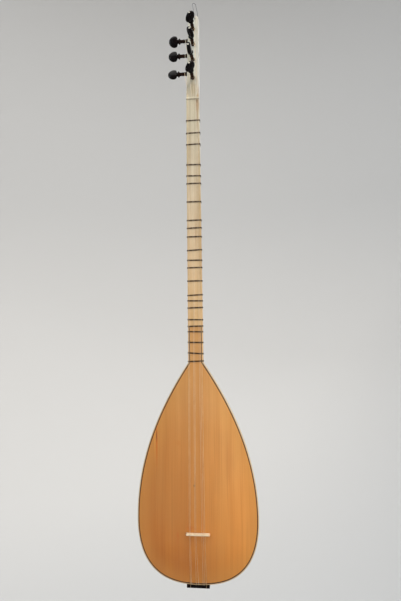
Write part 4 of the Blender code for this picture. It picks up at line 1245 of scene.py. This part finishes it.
def make_frets():
    mat = nylon()
    thick, pitch = 0.43, 0.93
    for i, ((num, den), skew) in enumerate(FRETS):
        z = -SCALE * (1.0 - den / num)
        lean = math.tan(math.radians(skew))
        # tied just loose enough to be pushed towards the bowl, where the neck is thicker
        loose = 0.0 if i == len(FRETS) - 1 else 4.6
        ring = neck_section(z - loose, thick + 0.06, 4, 32)
        # start behind the bass edge, where the knot is
        tie = 10 + 26
        ring = ring[tie:] + ring[:tie]
        count = len(ring)
        wobble = [0.10 * math.sin(1.7 * i + 2.1 * k) for k in range(3)]
        path = []
        for turn in range(3):
            for k, (x, y, _) in enumerate(ring):
                step = max(0.0, (k / count - 0.80) / 0.20) if turn < 2 else 0.0
                off = (turn - 1 + step) * pitch
                sway = wobble[turn] * math.sin(math.tau * (k / count) * (1.0 + (i % 3) * 0.5)) * 0.6
                path.append((x, y, z + x * lean + off + sway))
        path.append((ring[0][0], ring[0][1], z + ring[0][0] * lean + pitch))
        # overhand knot lying on the turns
        kx, ky, _ = ring[0]
        out = Vector((kx, ky - 9.0, 0.0)).normalized()
        tang = Vector((-out.y, out.x, 0.0))
        centre = Vector((kx, ky, z + kx * lean)) + out * 0.95
        knot = []
        for k in range(37):
            t = math.tau * k / 36 + 0.3
            a = math.sin(t) + 2 * math.sin(2 * t)
            b = math.cos(t) - 2 * math.cos(2 * t)
            c = -math.sin(3 * t)
            knot.append(centre + tang * (a * 0.46) + Vector((0, 0, 1)) * (b * 0.46) + out * (c * 0.42))
        ends = []
        for sign in (-1, 1):
            root = centre + Vector((0, 0, 0.9 * sign)) - out * 0.2
            ends.append([root, root + tang * (0.9 * sign) + Vector((0, 0, 0.8 * sign)) + out * 0.15,
                         root + tang * (2.1 * sign) + Vector((0, 0, 1.3 * sign)) - out * 0.2])
        routes = [(path, thick), (knot, thick * 0.92)] + [(eased(e, 0.6, 4), thick * 0.92) for e in ends]
        name = "fret_%02d" % (i + 1)
        put(name + "_tied", wires("fret", routes, 2), mat, name, [name])


# ---------------------------------------------------------------- hanging loop

def smooth_route(points, steps):
    pts = [Vector(p) for p in points]
    pts = [2 * pts[0] - pts[1]] + pts + [2 * pts[-1] - pts[-2]]
    out = []
    for a, b, c, d in zip(pts, pts[1:], pts[2:], pts[3:]):
        for k in range(steps):
            t = k / steps
            out.append(0.5 * ((2 * b) + (c - a) * t + (2 * a - 5 * b + 4 * c - d) * t * t
                              + (3 * b - a - 3 * c + d) * t * t * t))
    out.append(pts[-2])
    return out


def make_loop():
    x, z = HANG_HOLE
    hang = Vector((0.0, -FACE_Y, -NUT_Z))
    mouth = Vector((x, face_y(z), z))

    def near(side, s, t):
        return mouth + OUT * s + UP * t + Vector((side, 0, 0))

    front = [near(0, -8.2, 0), near(0, -4.0, 0), near(0, -0.4, 0.1), near(-0.4, 2.3, 1.5), near(-1.0, 3.3, 5.2),
             near(-1.7, 3.0, 10.5), Vector((0.9, hang.y - 6.5, z + 22.0)), Vector((-1.6, hang.y - 1.6, hang.z - 6.4))]
    back = [Vector((5.6, hang.y + 1.6, hang.z - 6.4)), Vector((8.4, hang.y + 6.5, z + 22.0)), near(4.3, -20.2, 10.5),
            near(2.9, -20.5, 5.2), near(1.1, -19.5, 1.5), near(0, -16.8, 0.1), near(0, -13.2, 0), near(0, -9.0, 0)]
    top = [Vector((-1.5, hang.y - 0.7, hang.z - 2.2)), Vector((1.0, hang.y, hang.z - CORD / 2)),
           Vector((4.1, hang.y + 0.7, hang.z - 2.4))]
    route = smooth_route(front + top + back, 6)
    curve = wires("hanging_loop", [(route, CORD / 2)], 4)
    obj = put("hanging_cord", curve, grey_cord(), "instrument", ["hanging_loop"])


# ---------------------------------------------------------------- studio

def make_studio():
    scene = bpy.context.scene
    scene.view_settings.view_transform = 'Standard'
    scene.view_settings.look = 'None'
    scene.view_settings.exposure = 0.0

    world = bpy.data.worlds.new("studio")
    scene.world = world
    world.use_nodes = True
    world.node_tree.nodes["Background"].inputs["Color"].default_value = (0.95, 0.975, 1.0, 1.0)
    world.node_tree.nodes["Background"].inputs["Strength"].default_value = 0.38

    # pale seamless floor that curves upwards far away all round
    keys = [(0.001, 0.0), (1.0, 0.0), (2.0, 0.0)]
    keys += [(2.0 + 3.4 * math.sin(math.pi / 2 * k / 20), 3.4 - 3.4 * math.cos(math.pi / 2 * k / 20)) for k in range(1, 21)]
    keys += [(5.4, 5.2), (5.4, 7.4)]
    sides = 128
    verts = [(r * math.cos(math.tau * i / sides), r * math.sin(math.tau * i / sides), -2.4 + h)
             for r, h in keys for i in range(sides)]
    mesh = bpy.data.meshes.new("floor")
    faces = []
    for k in range(len(keys) - 1):
        for i in range(sides):
            j = (i + 1) % sides
            faces.append((k * sides + i, k * sides + j, (k + 1) * sides + j, (k + 1) * sides + i))
    faces.append(tuple(range(sides - 1, -1, -1)))
    mesh.from_pydata(verts, [], faces)
    mesh.shade_smooth()
    mat = bpy.data.materials.new("floor_pale")
    mat.use_nodes = True
    shader = mat.node_tree.nodes["Principled BSDF"]
    shader.inputs["Base Color"].default_value = (0.60, 0.61, 0.62, 1.0)
    shader.inputs["Roughness"].default_value = 0.95
    shader.inputs["Specular IOR Level"].default_value = 0.05
    mesh.materials.append(mat)
    floor = bpy.data.objects.new("floor", mesh)
    scene.collection.objects.link(floor)

    def lamp(name, place, target, size, power, colour):
        data = bpy.data.lights.new(name, 'AREA')
        data.shape = 'RECTANGLE'
        data.size, data.size_y = size
        data.energy = power
        data.color = colour
        obj = bpy.data.objects.new(name, data)
        obj.location = place
        obj.rotation_euler = (Vector(target) - Vector(place)).to_track_quat('-Z', 'Y').to_euler()
        obj.visible_camera = False
        scene.collection.objects.link(obj)

    lamp("cool_left", (-1.15, -0.62, 0.42), (0.0, -0.06, -0.16), (1.0, 1.0), 11.5, (0.72, 0.89, 1.0))
    lamp("ceiling", (0.0, -0.6, 4.3), (0.0, -0.6, 0.0), (5.0, 5.0), 175.0, (1.0, 0.985, 0.955))
    lamp("warm_near", (0.80, -0.55, -1.05), (0.02, -0.04, -1.05), (0.45, 0.45), 2.4, (1.0, 0.84, 0.66))
    lamp("soft_left", (-2.6, -2.6, 0.4), (0.0, 0.0, -0.7), (2.0, 2.0), 8.5, (0.90, 0.96, 1.0))
    lamp("soft_right", (2.8, -2.4, -0.4), (0.0, 0.0, -0.9), (2.0, 2.0), 8.5, (1.0, 0.90, 0.80))
    lamp("soft_back", (0.6, 3.0, 1.4), (0.0, 0.0, -0.7), (2.0, 2.0), 24.0, (1.0, 0.985, 0.96))

    # the warm key comes from the right, in front and above
    data = bpy.data.lights.new("key", 'SUN')
    data.energy = 1.4
    data.color = (1.0, 0.90, 0.78)
    data.angle = math.radians(17.0)
    obj = bpy.data.objects.new("key", data)
    obj.location = (0.9, -1.6, 1.2)
    obj.rotation_euler = Vector((-0.58, 1.0, -1.28)).to_track_quat('-Z', 'Y').to_euler()
    scene.collection.objects.link(obj)


LINE_WOOD = dark_veneer()
EDGE_WOOD = pale_wood("edge_hornbeam", (0.70, 0.56, 0.37), "grain", 5.0)

make_neck()
make_nut()
make_tongue()
make_board()
make_bowl()
make_bridge()
make_tailpiece()
make_strings()
make_pegs()
make_frets()
make_loop()

INNER = raw_wood("block_lime", (0.62, 0.47, 0.29), (0.52, 0.37, 0.21), 41.0)
BRACE = raw_wood("brace_spruce", (0.72, 0.56, 0.34), (0.62, 0.45, 0.25), 43.0)
for node, mat in (("neck_block", INNER), ("tail_block", INNER), ("soundboard_brace", BRACE)):
    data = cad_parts[node].data
    data.materials.clear()
    data.materials.append(mat)

make_studio()
